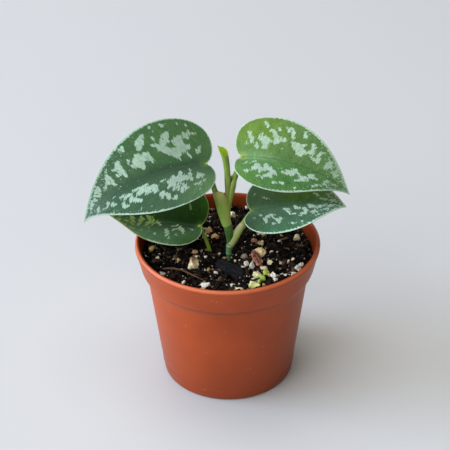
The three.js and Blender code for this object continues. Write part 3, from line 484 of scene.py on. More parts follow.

# Leaves. foot is the blade's own foot and heading the way it points. pitch, curl, roll and twist bend it,
# fold and cup lift its halves and heart shapes its outline. The half on the farSide has a green of its
# own, with a warm part, and its silver turns darker there and from a given share of the length on: painted
# shade, strongest on the lower left leaf, whose far half also has near-black greens as painted shade where
# the upper left leaf shades it. The valley tint along the midrib is painted shade, and on the upper right
# leaf a painted highlight. Strokes are silver brush strokes:
# from and to (share of the length, share of the half width, left of the midrib positive), and width.
leaves = {
    "upper_left": {
        "foot": (-7.7, 1, 90.2), "heading": 186, "length": 53.2, "pitchFoot": -1, "pitchTip": -47.4,
        "curl": -21.3, "roll": 22, "twist": 6.7, "cup": 0.056, "wavePhase": 0.4, "farSide": -1,
        "left": {"width": 20.8, "fold": 17}, "right": {"width": 21, "fold": 15.8},
        "heart": {"lobe": 0.069, "lobeOut": 0.154, "widest": 0.264, "shoulder": 0.73, "tip": 0.2},
        "gloss": 0.22, "near": "#2a4a31", "far": "#294c2a", "lobe": "#496d42", "warm": "#33572d",
        "warmAt": 0.15, "warmFrom": 0.5, "valleyShadeAndSheen": "#12311c", "valleyReach": 1.6, "valleyWidth": 2.6,
        "valleyGrow": 0, "silver": "#859c8e", "shadedSilver": "#839c8a", "silverShadeFrom": 2,
        "tipPale": 0.06, "notch": "#4c7024", "margin": "#9db6a0",
        "strokes": [
            (0.055, -0.61, 0.1, -0.63, 1.1), (0.09, -0.66, 0.105, -0.55, 1),
            (0.12, -0.64, 0.12, -0.55, 0.9), (0.035, -0.35, 0.035, -0.27, 0.7),
            (0.045, -0.29, 0.05, -0.23, 1.1), (0.16, -0.56, 0.14, -0.36, 2.4),
            (0.19, -0.54, 0.165, -0.42, 1.3), (0.11, -0.37, 0.17, -0.31, 1.9),
            (0.15, -0.3, 0.145, -0.24, 0.9), (0.12, -0.27, 0.095, -0.16, 0.6),
            (0.19, -0.2, 0.17, -0.13, 0.4), (0.225, -0.7, 0.24, -0.56, 1.9),
            (0.25, -0.69, 0.255, -0.63, 0.8), (0.26, -0.54, 0.28, -0.44, 2.4),
            (0.165, -0.46, 0.175, -0.37, 1.8), (0.28, -0.46, 0.325, -0.56, 1.1),
            (0.26, -0.41, 0.19, -0.28, 2.7), (0.19, -0.28, 0.19, -0.21, 1), (0.17, -0.33, 0.22, -0.34, 1.9),
            (0.31, -0.66, 0.315, -0.7, 0.8), (0.24, -0.87, 0.245, -0.9, 1.3),
            (0.32, -0.9, 0.32, -0.89, 0.5), (0.145, -0.86, 0.145, -0.85, 0.7), (0.1, -0.8, 0.1, -0.79, 0.4),
            (0.3, -0.8, 0.3, -0.79, 0.4), (0.38, -0.79, 0.385, -0.72, 1.3), (0.39, -0.73, 0.4, -0.62, 2.1),
            (0.42, -0.68, 0.415, -0.6, 1.4), (0.41, -0.61, 0.41, -0.58, 1.6),
            (0.525, -0.71, 0.52, -0.67, 1.7), (0.375, -0.41, 0.365, -0.31, 1.6),
            (0.4, -0.38, 0.45, -0.4, 2.6), (0.44, -0.46, 0.455, -0.4, 1.5), (0.4, -0.33, 0.485, -0.31, 1.8),
            (0.505, -0.45, 0.505, -0.36, 1), (0.35, -0.28, 0.345, -0.24, 0.7),
            (0.43, -0.27, 0.425, -0.19, 1.3), (0.46, -0.28, 0.44, -0.24, 1.2),
            (0.5, -0.2, 0.515, -0.2, 0.4), (0.57, -0.5, 0.575, -0.42, 1.4), (0.59, -0.46, 0.6, -0.41, 0.9),
            (0.58, -0.43, 0.568, -0.3, 1.8), (0.6, -0.4, 0.625, -0.4, 0.8),
            (0.59, -0.27, 0.615, -0.26, 0.5), (0.566, -0.3, 0.556, -0.2, 1.7),
            (0.59, -0.24, 0.61, -0.24, 0.7), (0.675, -0.37, 0.68, -0.3, 1.3),
            (0.667, -0.28, 0.695, -0.25, 1.4), (0.69, -0.23, 0.71, -0.22, 0.8),
            (0.66, -0.22, 0.65, -0.13, 1.2), (0.665, -0.46, 0.665, -0.45, 0.6),
            (0.72, -0.17, 0.725, -0.17, 0.7), (0.77, -0.25, 0.79, -0.24, 1.5),
            (0.775, -0.22, 0.78, -0.13, 1.6), (0.82, -0.16, 0.83, -0.09, 1),
            (0.85, -0.12, 0.88, -0.06, 1.3), (0.025, 0.44, 0.035, 0.47, 0.8), (0.06, 0.51, 0.06, 0.57, 0.7),
            (0.07, 0.52, 0.1, 0.53, 0.9), (0.035, 0.29, 0.065, 0.29, 1.4), (0.04, 0.34, 0.045, 0.36, 0.8),
            (0.07, 0.36, 0.066, 0.26, 0.8), (0.06, 0.24, 0.07, 0.21, 0.8), (0.14, 0.33, 0.16, 0.28, 2.4),
            (0.17, 0.3, 0.25, 0.32, 3), (0.115, 0.4, 0.125, 0.3, 0.9), (0.2, 0.25, 0.185, 0.15, 1.6),
            (0.23, 0.27, 0.24, 0.2, 1.1), (0.12, 0.25, 0.13, 0.2, 0.9), (0.26, 0.38, 0.28, 0.45, 1.6),
            (0.285, 0.35, 0.285, 0.3, 0.9), (0.115, 0.14, 0.11, 0.1, 0.7), (0.145, 0.6, 0.17, 0.57, 1.1),
            (0.19, 0.66, 0.19, 0.56, 1.2), (0.17, 0.55, 0.18, 0.46, 1.4), (0.215, 0.57, 0.22, 0.43, 1.4),
            (0.235, 0.53, 0.245, 0.45, 1.1), (0.255, 0.56, 0.245, 0.5, 0.6), (0.245, 0.73, 0.25, 0.77, 1.7),
            (0.295, 0.72, 0.3, 0.63, 1.5), (0.31, 0.71, 0.31, 0.66, 0.8), (0.32, 0.6, 0.34, 0.58, 1.6),
            (0.345, 0.66, 0.345, 0.58, 0.8), (0.335, 0.53, 0.35, 0.55, 1.3),
            (0.435, 0.75, 0.435, 0.76, 0.9), (0.51, 0.71, 0.51, 0.72, 0.6), (0.3, 0.21, 0.33, 0.24, 0.8),
            (0.375, 0.42, 0.37, 0.31, 1.5), (0.385, 0.46, 0.385, 0.42, 0.7), (0.39, 0.37, 0.39, 0.27, 1.5),
            (0.41, 0.4, 0.46, 0.42, 0.8), (0.42, 0.3, 0.49, 0.3, 2.7), (0.43, 0.19, 0.48, 0.21, 1.6),
            (0.5, 0.37, 0.505, 0.32, 1), (0.5, 0.18, 0.54, 0.19, 0.8), (0.5, 0.53, 0.52, 0.47, 1.2),
            (0.53, 0.47, 0.55, 0.43, 1.4), (0.545, 0.42, 0.56, 0.34, 1.7), (0.58, 0.42, 0.575, 0.37, 0.9),
            (0.56, 0.24, 0.6, 0.24, 1.8), (0.615, 0.27, 0.615, 0.22, 0.9), (0.6, 0.18, 0.65, 0.18, 0.9),
            (0.61, 0.49, 0.63, 0.46, 1.5), (0.635, 0.46, 0.635, 0.36, 1.1), (0.69, 0.28, 0.71, 0.26, 1.2),
            (0.715, 0.25, 0.72, 0.18, 0.9), (0.745, 0.16, 0.75, 0.12, 1.3), (0.76, 0.21, 0.79, 0.19, 0.9),
            (0.83, 0.08, 0.84, 0.15, 1.2), (0.68, 0.08, 0.7, 0.09, 0.4), (0.07, 0.68, 0.07, 0.69, 0.3),
        ],
    },
    "upper_right": {
        "foot": (5.55, 0, 93.6), "heading": -5.1, "length": 43.8, "pitchFoot": 3.5, "pitchTip": -42.4,
        "curl": -8, "roll": -19, "twist": -10, "cup": 0.28, "wavePhase": 2.1, "farSide": 1,
        "left": {"width": 19.9, "fold": 26}, "right": {"width": 18.5, "fold": 28},
        "heart": {"lobe": 0.073, "lobeOut": 0.09, "widest": 0.24, "shoulder": 0.73, "tip": 0.2},
        "gloss": 0.22, "near": "#4d7d44", "far": "#587e47", "lobe": "#4f7a34", "warm": "#5f8130",
        "warmAt": 0, "warmFrom": 0.6, "valleyShadeAndSheen": "#7fab7b", "valleyReach": 0.35, "valleyWidth": 2.4,
        "valleyGrow": 0, "silver": "#a6c4b6", "shadedSilver": "#a2c1ab", "silverShadeFrom": 2,
        "tipPale": 0.12, "notch": "#9fb458", "margin": "#a9c0a2",
        "strokes": [
            (0.05, 0.55, 0.06, 0.42, 0.9), (0.07, 0.45, 0.075, 0.32, 1), (0.11, 0.31, 0.105, 0.25, 0.8),
            (0.035, 0.33, 0.03, 0.28, 0.5), (0.12, 0.2, 0.13, 0.24, 0.4), (0.15, 0.53, 0.145, 0.45, 0.9),
            (0.145, 0.42, 0.185, 0.4, 2.2), (0.17, 0.37, 0.18, 0.24, 2), (0.19, 0.45, 0.19, 0.37, 0.4),
            (0.195, 0.25, 0.195, 0.3, 0.6), (0.165, 0.83, 0.185, 0.72, 1), (0.225, 0.63, 0.245, 0.57, 1.5),
            (0.255, 0.52, 0.26, 0.4, 1.4), (0.285, 0.41, 0.33, 0.44, 1.5), (0.295, 0.5, 0.3, 0.45, 0.9),
            (0.25, 0.35, 0.29, 0.39, 1.2), (0.275, 0.7, 0.28, 0.67, 1.1), (0.34, 0.74, 0.35, 0.68, 1.3),
            (0.36, 0.77, 0.37, 0.72, 0.7), (0.385, 0.64, 0.385, 0.53, 1.3), (0.47, 0.74, 0.475, 0.61, 1.1),
            (0.4, 0.41, 0.41, 0.33, 1.4), (0.42, 0.43, 0.44, 0.42, 1.2), (0.47, 0.43, 0.49, 0.46, 0.8),
            (0.43, 0.35, 0.49, 0.3, 2.2), (0.5, 0.31, 0.56, 0.34, 1.3), (0.555, 0.49, 0.56, 0.38, 1.5),
            (0.45, 0.24, 0.47, 0.22, 1.5), (0.63, 0.42, 0.65, 0.44, 0.6), (0.615, 0.38, 0.62, 0.25, 1.3),
            (0.575, 0.23, 0.585, 0.22, 0.5), (0.57, 0.24, 0.63, 0.2, 1.3), (0.72, 0.33, 0.71, 0.2, 1.6),
            (0.695, 0.25, 0.74, 0.22, 1), (0.69, 0.16, 0.7, 0.14, 0.8), (0.74, 0.33, 0.73, 0.28, 0.7),
            (0.77, 0.14, 0.82, 0.13, 1.1), (0.795, 0.17, 0.8, 0.1, 1), (0.83, 0.17, 0.835, 0.17, 0.6),
            (0.88, 0.08, 0.9, 0.1, 0.8), (0.86, 0.17, 0.865, 0.16, 0.6), (0.77, 0.3, 0.775, 0.3, 0.6),
            (0.75, 0.42, 0.78, 0.36, 0.5), (0.8, 0.28, 0.81, 0.26, 0.5), (0.31, 0.24, 0.32, 0.25, 0.5),
            (0.035, -0.52, 0.07, -0.53, 0.9), (0.055, -0.57, 0.06, -0.5, 0.6),
            (0.02, -0.27, 0.04, -0.22, 0.8), (0.045, -0.28, 0.045, -0.19, 0.6),
            (0.085, -0.24, 0.09, -0.19, 0.7), (0.1, -0.45, 0.12, -0.37, 1.5),
            (0.14, -0.42, 0.13, -0.26, 1.7), (0.16, -0.52, 0.16, -0.42, 0.9),
            (0.17, -0.42, 0.22, -0.38, 2.4), (0.205, -0.46, 0.21, -0.4, 1.2), (0.22, -0.36, 0.21, -0.24, 2),
            (0.245, -0.36, 0.25, -0.3, 0.9), (0.11, -0.2, 0.115, -0.15, 0.6), (0.19, -0.72, 0.2, -0.63, 1),
            (0.21, -0.63, 0.25, -0.58, 1.3), (0.265, -0.64, 0.26, -0.56, 0.8),
            (0.25, -0.55, 0.27, -0.46, 1.5), (0.29, -0.54, 0.29, -0.45, 1.1),
            (0.27, -0.45, 0.285, -0.42, 1.2), (0.145, -0.67, 0.16, -0.66, 0.8),
            (0.28, -0.78, 0.3, -0.77, 1), (0.35, -0.72, 0.37, -0.73, 1), (0.32, -0.28, 0.32, -0.29, 0.8),
            (0.37, -0.4, 0.43, -0.38, 2.1), (0.39, -0.32, 0.42, -0.3, 1.3), (0.43, -0.32, 0.46, -0.23, 1.8),
            (0.46, -0.28, 0.5, -0.28, 1.2), (0.44, -0.2, 0.47, -0.18, 1), (0.47, -0.54, 0.54, -0.46, 0.8),
            (0.5, -0.44, 0.55, -0.42, 0.9), (0.5, -0.37, 0.56, -0.34, 1.5), (0.575, -0.42, 0.57, -0.32, 1),
            (0.58, -0.22, 0.64, -0.22, 0.9), (0.6, -0.18, 0.62, -0.13, 1.4), (0.6, -0.28, 0.62, -0.26, 0.7),
            (0.66, -0.22, 0.67, -0.2, 0.5), (0.48, -0.75, 0.48, -0.74, 0.7), (0.62, -0.5, 0.66, -0.44, 0.5),
            (0.66, -0.4, 0.7, -0.36, 0.8), (0.73, -0.2, 0.76, -0.12, 1.1), (0.72, -0.27, 0.78, -0.2, 0.7),
            (0.76, -0.3, 0.8, -0.26, 0.5), (0.8, -0.12, 0.83, -0.08, 0.7),
        ],
    },
    # on this leaf the far half's near-black greens, the broad dark valley and the dull far silver are painted
    # shade, where the upper left leaf shades it
    "lower_left": {
        "foot": (-10.05, 2, 62.55), "heading": 160.5, "length": 37.7, "pitchFoot": -4.3, "pitchTip": -6.3,
        "curl": 11, "roll": 22.7, "twist": -8, "cup": 0.113, "wavePhase": 3.6, "farSide": -1,
        "left": {"width": 15.3, "fold": 26.5}, "right": {"width": 15.6, "fold": 24.6},
        "heart": {"lobe": 0.062, "lobeOut": 0.315, "widest": 0.275, "shoulder": 0.7, "tip": 0.195},
        "gloss": 0.1, "near": "#466c49", "far": "#0d2000", "lobe": "#2f5512", "warm": "#1a3602",
        "warmAt": 0.3, "warmFrom": 0.2, "valleyShadeAndSheen": "#0f2b00", "valleyReach": 6, "valleyWidth": 5,
        "valleyGrow": 1.6, "silver": "#9db797", "shadedSilver": "#5d7136", "silverShadeFrom": 0.4,
        "tipPale": 0, "notch": "#4a6524", "margin": "#9a937a",
        "strokes": [
            (0.41, 0.16, 0.47, 0.02, 0.7), (0.49, 0.24, 0.5, 0.05, 0.8), (0.56, 0.27, 0.53, 0.02, 1.2),
            (0.5, 0.1, 0.57, 0.12, 0.8), (0.635, 0.26, 0.635, 0.02, 1.1), (0.64, 0.1, 0.67, 0.01, 0.8),
            (0.7, 0.14, 0.76, 0.01, 0.8), (0.51, -0.02, 0.53, -0.12, 0.9), (0.56, -0.03, 0.59, -0.12, 0.9),
            (0.62, -0.02, 0.66, -0.08, 0.8), (0.72, -0.02, 0.76, -0.07, 0.8),
            (0.16, -0.55, 0.145, -0.42, 0.6), (0.13, 0.42, 0.15, 0.3, 0.7), (0.15, 0.3, 0.2, 0.15, 1.2),
            (0.2, 0.28, 0.205, 0.13, 0.8), (0.24, 0.08, 0.27, 0.16, 0.7), (0.25, 0.36, 0.24, 0.28, 0.5),
            (0.275, 0.62, 0.28, 0.52, 1.3), (0.3, 0.48, 0.33, 0.35, 0.8), (0.29, 0.42, 0.32, 0.33, 0.7),
            (0.19, 0.52, 0.19, 0.53, 0.8), (0.06, 0.21, 0.1, 0.17, 0.6), (0.24, 0.71, 0.24, 0.69, 0.5),
            (0.48, 0.55, 0.48, 0.54, 0.7), (0.56, 0.53, 0.57, 0.5, 0.9), (0.65, 0.48, 0.7, 0.41, 0.9),
            (0.44, 0.06, 0.42, 0.14, 0.6), (0.7, 0.25, 0.73, 0.19, 0.8), (0.78, 0.12, 0.81, 0.07, 0.8),
            (0.86, 0.1, 0.89, 0.05, 0.7), (0.5, 0.37, 0.52, 0.32, 0.6), (0.67, -0.2, 0.71, -0.25, 0.9),
            (0.8, -0.1, 0.84, -0.13, 0.8), (0.77, 0.34, 0.79, 0.29, 0.7), (0.4, 0.62, 0.41, 0.58, 0.6),
            (0.57, 0.68, 0.59, 0.64, 0.6),
        ],
    },
    "lower_right": {
        "foot": (8.95, 0, 70.2), "heading": -5.5, "length": 35.9, "pitchFoot": 16.5, "pitchTip": -1.6,
        "curl": -22, "roll": -5.6, "twist": -12.6, "cup": 0.238, "wavePhase": 5, "farSide": 1,
        "left": {"width": 20, "fold": 18.5}, "right": {"width": 18.4, "fold": 21.8},
        "heart": {"lobe": 0.072, "lobeOut": 0.247, "widest": 0.302, "shoulder": 0.68, "tip": 0.297},
        "gloss": 0.2, "near": "#4a775b", "far": "#284a24", "lobe": "#27502c", "warm": "#3c5a03",
        "warmAt": 0.62, "warmFrom": 0.12, "valleyShadeAndSheen": "#3d694b", "valleyReach": 0.8, "valleyWidth": 2.4,
        "valleyGrow": 0, "silver": "#c0e2d5", "shadedSilver": "#8ca083", "silverShadeFrom": 2,
        "tipPale": 0.1, "notch": "#5f8134", "margin": "#a9ba9f",
        "strokes": [
            (0.18, -0.63, 0.175, -0.5, 1), (0.17, -0.47, 0.18, -0.42, 1.4), (0.18, -0.4, 0.22, -0.33, 1.4),
            (0.265, -0.53, 0.235, -0.42, 0.9), (0.25, -0.36, 0.225, -0.36, 1), (0.2, -0.3, 0.2, -0.28, 0.5),
            (0.315, -0.7, 0.32, -0.52, 1.2), (0.305, -0.58, 0.335, -0.52, 1.1),
            (0.26, -0.72, 0.26, -0.67, 0.9), (0.11, -0.3, 0.105, -0.26, 0.9),
            (0.125, -0.34, 0.125, -0.33, 0.5), (0.05, -0.4, 0.045, -0.37, 0.5), (0.42, -0.4, 0.41, -0.3, 1),
            (0.41, -0.28, 0.36, -0.15, 1.2), (0.44, -0.38, 0.46, -0.36, 0.7),
            (0.36, -0.14, 0.41, -0.16, 0.8), (0.445, -0.7, 0.48, -0.71, 1.1),
            (0.55, -0.65, 0.55, -0.63, 0.7), (0.535, -0.44, 0.56, -0.35, 1.2),
            (0.57, -0.36, 0.58, -0.25, 1.2), (0.57, -0.25, 0.56, -0.15, 1.3),
            (0.53, -0.37, 0.55, -0.36, 0.9), (0.49, -0.14, 0.46, -0.05, 1.3),
            (0.52, -0.17, 0.5, -0.12, 0.7), (0.66, -0.38, 0.67, -0.25, 1.1), (0.63, -0.33, 0.67, -0.3, 0.7),
            (0.62, -0.12, 0.68, -0.1, 1.1), (0.7, -0.15, 0.72, -0.08, 1.2), (0.74, -0.1, 0.78, -0.04, 1.3),
            (0.6, -0.03, 0.66, -0.05, 0.9), (0.82, -0.08, 0.86, -0.04, 1.2), (0.7, -0.3, 0.73, -0.25, 0.7),
            (0.76, -0.22, 0.8, -0.17, 0.9), (0.7, -0.42, 0.72, -0.38, 0.6), (0.73, 0.12, 0.78, 0.1, 0.9),
            (0.79, 0.22, 0.82, 0.17, 0.8), (0.83, 0.08, 0.88, 0.07, 0.8), (0.13, 0.3, 0.14, 0.27, 0.6),
            (0.16, 0.25, 0.18, 0.22, 0.5), (0.035, 0.43, 0.035, 0.42, 0.5), (0.66, 0.24, 0.7, 0.2, 0.5),
            (0.9, -0.05, 0.93, -0.02, 0.7),
        ],
    },
}


def bezier(a, b, c, d, t):
    return (1 - t) ** 3 * a + 3 * (1 - t) ** 2 * t * b + 3 * (1 - t) * t * t * c + t ** 3 * d


# Outline of one half from the notch at the foot (t = 0) round the lobe to the tip (t = 1), as shares of
# the length and of the half's width.
def outline(leaf, t):
    heart = leaf["heart"]
    widest, lobe, back = heart["widest"], heart["lobe"], t < 0.5
    shoulder = widest + heart["shoulder"] * (1 - widest) * 0.62
    u = np.where(back, 2 * t, 2 * t - 1)
    x = np.where(back, bezier(0, -1.5 * lobe, -1.15 * lobe, widest, u), bezier(widest, shoulder, 0.8, 1, u))
    y = np.where(back, bezier(0, heart["lobeOut"], 1, 1, u), bezier(1, 1, heart["tip"], 0, u))
    return x, y


# Width of the half that a flat point lies on.
def halfWidth(leaf, y):
    return np.where(y < 0, leaf["right"]["width"], leaf["left"]["width"])


# Midrib at a distance x from the foot: its point, the blade's normal there and the way to the left.
def midrib(leaf, x):
    share = np.linspace(0, 1, blade["midribPoints"])
    slope = np.radians(leaf["pitchFoot"] + (leaf["pitchTip"] - leaf["pitchFoot"]) * share
                       + leaf["curl"] * np.clip((share - 0.75) / 0.25, 0, 1) ** 2)
    stride = leaf["length"] / (len(share) - 1)
    middle = (slope[1:] + slope[:-1]) / 2
    s = np.clip(x / leaf["length"], 0, 1)
    out, height = (
        (np.interp(s, share, np.append(0, np.cumsum(part(middle)) * stride))
         + np.minimum(x, 0) * part(slope[0]))[:, None] for part in (np.cos, np.sin))
    pitch = np.interp(s, share, slope)[:, None]
    heading, up = levelWay(leaf["heading"]), np.array([0, 0, 1])
    normal = up * np.cos(pitch) - heading * np.sin(pitch)
    left = np.cross(normal, heading * np.cos(pitch) + up * np.sin(pitch))
    roll = np.radians(leaf["roll"] + leaf["twist"] * s)[:, None]
    point = np.array(leaf["foot"]) + heading * out + up * height
    return point, normal * np.cos(roll) + left * np.sin(roll), left * np.cos(roll) - normal * np.sin(roll)


# Top face of a blade: x along the midrib, y out from it, left positive.
def bladePoint(leaf, x, y):
    point, normal, left = midrib(leaf, x)
    fold = np.radians(np.where(y < 0, leaf["right"]["fold"], leaf["left"]["fold"]))
    width = halfWidth(leaf, y)
    share = np.abs(y) / width
    soft = np.sqrt(y ** 2 + blade["crease"] ** 2) - blade["crease"]
    taper = 1 - 0.8 * np.clip(x / leaf["length"], 0, 1)
    groove = blade["grooveDepth"] * taper * np.exp(-(y / blade["grooveWidth"]) ** 2)
    wave = blade["wave"] * share ** 2 * np.sin(9 * x / leaf["length"] + np.sign(y) + leaf["wavePhase"])
    lift = soft * np.sin(fold) - leaf["cup"] * width * share ** 2 + wave - groove
    return point + left * (y * np.cos(fold))[:, None] + normal * lift[:, None]


# Side veins: which vein a flat point lies on (in millimetres across the veins) and how far along it.
def veinPlace(leaf, x, y):
    t = np.linspace(0.012, 0.992, 140)
    endX, endY = outline(leaf, t)
    endX = endX * leaf["length"]
    fan = blade["fanShare"]
    startX = leaf["length"] * np.clip((t - fan) / (1 - fan), 0, 1) ** 1.05
    side = (endX - startX) * np.abs(y)[:, None] - halfWidth(leaf, y)[:, None] * endY * (x[:, None] - startX)
    first = np.clip((side < 0).sum(1), 1, len(t) - 1)
    rows = np.arange(len(x))
    a, b = side[rows, first - 1], side[rows, first]
    mix = np.clip(a / np.where(a - b == 0, 1, a - b), 0, 1)
    vein = t[first - 1] + (t[first] - t[first - 1]) * mix
    start = np.interp(vein, t, startX)
    return 1.3 * leaf["length"] * vein, np.hypot(x - start, y)


# How far a flat point lies inside the brush strokes, in millimetres; outside it's below 0. Strokes that
# lie close together run into one.
def strokeDepth(leaf, x, y):
    depth = np.full(len(x), math.exp(-3 / blade["merge"]))
    for x0, y0, x1, y1, width in leaf["strokes"]:
        scale = np.array([leaf["length"], halfWidth(leaf, y0 + y1)])
        start = np.array([x0, y0]) * scale
        way = np.array([x1, y1]) * scale - start
        t = np.clip(((x - start[0]) * way[0] + (y - start[1]) * way[1]) / max(way @ way, 0.01), 0, 1)
        gap = np.hypot(x - start[0] - t * way[0], y - start[1] - t * way[1])
        depth += np.exp(np.maximum(width / 2 - gap, -3) / blade["merge"])
    return blade["merge"] * np.log(depth)


# Epidermis of a satin pothos leaf: deep green with a silky low gloss; air under the skin makes the
# silver patches, which fray along the side veins
def satinLeafMaterial(name, leaf):
    material, tree = newMaterial("satinLeafSkin_" + name, 0.5, 1.45, leaf["gloss"])
    place = addNode(tree, "TexCoord", out="Object")
    veins = addNode(tree, "Attribute", out="Vector", attribute_name="veins")
    keys = ("strokeDepth", "edgeGap", "footGap", "ribGap", "under", "far", "warm", "lobe", "valleyShadeAndSheen", "silverShade",
            "tipShare", "gleam")
    depth, edge, foot, rib, under, far, warm, lobe, valleyShadeAndSheen, silverShade, tip, gleam = (
        addNode(tree, "Attribute", out="Fac", attribute_name=key) for key in keys)

    # frayed ends: threads 0.6 mm wide and 3 mm long that lie along the veins
    threads = addNode(tree, "Mapping", {"Vector": veins, "Scale": (1 / 0.588, 1 / 3.125, 1)})
    fray = addNode(tree, "TexNoise", {"Vector": threads, "Scale": 1, "Detail": 4, "Roughness": 0.7})
    shift = addNode(tree, "MapRange", {0: fray, 1: 0.32, 2: 0.68, 3: -0.72, 4: 0.68})
    frayed = addNode(tree, "Math", {0: depth, 1: shift}, operation="ADD")
    patch = addNode(tree, "MapRange", {0: frayed, 1: -0.12, 2: 0.1}, interpolation_type="SMOOTHSTEP")

    # specks 0.5 mm wide and 0.9 mm long, closer together towards the margin and the tip
    grains = addNode(tree, "Mapping", {"Vector": veins, "Scale": (1 / 0.526, 1 / 0.909, 1)})
    spray = addNode(tree, "TexNoise", {"Vector": grains, "Scale": 1, "Detail": 1})
    limit = addNode(tree, "MapRange", {0: edge, 1: 0.3, 2: 3, 3: 0.67, 4: 0.76})
    lowered = addNode(tree, "Math", {0: tip, 1: -0.17, 2: limit}, operation="MULTIPLY_ADD")
    over = addNode(tree, "Math", {0: spray, 1: lowered}, operation="SUBTRACT")
    specks = addNode(tree, "MapRange", {0: over, 1: 0, 2: 0.02})

    # a ragged whitish rim
    ragged = addNode(tree, "Math", {0: spray, 1: 1.8, 2: -0.25}, operation="MULTIPLY_ADD")
    beyond = addNode(tree, "Math", {0: ragged, 1: edge}, operation="SUBTRACT")
    rim = addNode(tree, "MapRange", {0: beyond, 1: -0.08, 2: 0.1})
    both = addNode(tree, "Math", {0: patch, 1: specks}, operation="MAXIMUM")
    silver = addNode(tree, "Math", {0: both, 1: rim}, operation="MAXIMUM")
    above = addNode(tree, "Math", {0: 1, 1: under}, operation="SUBTRACT")
    shown = addNode(tree, "Math", {0: silver, 1: above}, operation="MULTIPLY")

    # clouds 1.7 mm wide and 5 mm long run along the side veins, with a grain of 0.5 mm over them
    bands = addNode(tree, "Mapping", {"Vector": veins, "Scale": (1 / 1.667, 1 / 5, 1)})
    clouds = addNode(tree, "TexNoise", {"Vector": bands, "Scale": 1, "Detail": 4, "Roughness": 0.6})
    grain = addNode(tree, "TexNoise", {"Vector": place, "Scale": perSize(0.526), "Detail": 2})
    mottle = addNode(tree, "Math", {0: grain, 1: 1.3, 2: clouds}, operation="MULTIPLY_ADD")
    value = addNode(tree, "MapRange", {0: mottle, 1: 0.85, 2: 1.45, 3: 0.72, 4: 1.25})
    hue = addNode(tree, "MapRange", {0: clouds, 1: 0.3, 2: 0.7, 3: 0.512, 4: 0.49})
    tinted = layTints(tree, leaf["near"], [
        (far, 0, 1, 1, leaf["far"]),
        (lobe, 0, 1, 1, leaf["lobe"]),
        (warm, 0, 1, 1, leaf["warm"]),
        # painted shade along the midrib valley; on the upper right leaf a painted highlight
        (valleyShadeAndSheen, 0, 1, 1, leaf["valleyShadeAndSheen"]),
        (tip, 0, 1, leaf["tipPale"], leaf["silver"]),
    ])
    green = addNode(tree, "HueSaturation", {"Hue": hue, "Value": value, "Color": tinted})

    # underside: paler and duller, with a pale midrib and faint side veins; a wave's length is 0.314 over
    # its scale
    waveInputs = {"Vector": veins, "Scale": 0.314 / blade["veinSpacing"], "Distortion": 0.4}
    waves = addNode(tree, "TexWave", waveInputs, "Fac", bands_direction="X")
    lines = addNode(tree, "MapRange", {0: waves, 1: 0.9, 2: 1, 4: 0.3})
    ribLine = addNode(tree, "MapRange", {0: rib, 1: 0.9, 2: 0.15, 4: 0.5})
    raised = addNode(tree, "Math", {0: lines, 1: ribLine}, operation="MAXIMUM")
    pale = layTints(tree, blade["underside"], [(raised, 0, 1, 1, blade["undersideVeins"])])

    # the threads and the grain leave the silver a little uneven
    hairs = addNode(tree, "MapRange", {0: fray, 1: 0.35, 2: 0.65, 3: 0.86, 4: 1.1})
    dots = addNode(tree, "MapRange", {0: grain, 1: 0.3, 2: 0.7, 3: 0.82, 4: 1.18})
    dotted = addNode(tree, "Math", {0: hairs, 1: dots}, operation="MULTIPLY")
    # painted highlight: gleam brightens the silver
    bright = addNode(tree, "Math", {0: dotted, 1: gleam}, operation="MULTIPLY")
    # painted shade: the silver turns darker on the far half
    tone = layTints(tree, leaf["silver"], [(silverShade, 0, 1, 1, leaf["shadedSilver"])])
    sheen = addNode(tree, "HueSaturation", {"Value": bright, "Color": tone})
    colour = layTints(tree, green, [
        (foot, 3, 0.5, 0.55, leaf["notch"]),
        # painted shade along the midrib crease
        (rib, 0.45, 0.08, 0.4, blade["ribShade"]),
        (under, 0, 1, 1, pale),
        (shown, 0, 1, 1, sheen),
        (edge, 0.16, 0.04, 0.8, leaf["margin"]),
    ])

    rough = addNode(tree, "MapRange", {0: shown, 3: 0.43, 4: 0.36})
    cells = addNode(tree, "TexNoise", {"Vector": place, "Scale": perSize(0.238), "Detail": 1})
    relief = addNode(tree, "Math", {0: fray, 1: 1.2, 2: cells}, operation="MULTIPLY_ADD")
    return finishMaterial(material, colour, relief, 0.22, 0.12, rough)


# Flat points of a blade: its foot, rows across it from the right margin to the left, and its tip.
def bladeGrid(leaf):
    t = np.arange(1, blade["rows"]) / blade["rows"]
    share = np.arange(-blade["columns"], blade["columns"] + 1) / blade["columns"]
    edgeX, edgeY = outline(leaf, t)
    ribX = t ** 1.8
    x = (ribX[:, None] + (edgeX - ribX)[:, None] * np.abs(share)).ravel() * leaf["length"]
    y = (edgeY[:, None] * share * halfWidth(leaf, share)).ravel()
    return np.concatenate([[0], x, [leaf["length"]]]), np.concatenate([[0], y, [0]])


# Faces of a blade: its top, its underside, and the margin that joins them through a third line.
def bladeFaces(width, count, loop):
    faces = []
    last = count - 1 - width
    for start in range(1, last, width):
        faces += [[a, a + width, a + width + 1, a + 1] for a in range(start, start + width - 1)]
    for column in range(width - 1):
        faces.append([0, 1 + column, 2 + column])
        faces.append([last + column, count - 1, last + column + 1])
    faces += [[i + count for i in face[::-1]] for face in faces]
    for k, i in enumerate(loop):
        n = (k + 1) % len(loop)
        a, b = 2 * count + k, 2 * count + n
        faces.append([i, a, b, loop[n]])
        faces.append([a, i + count, loop[n] + count, b])
    return faces


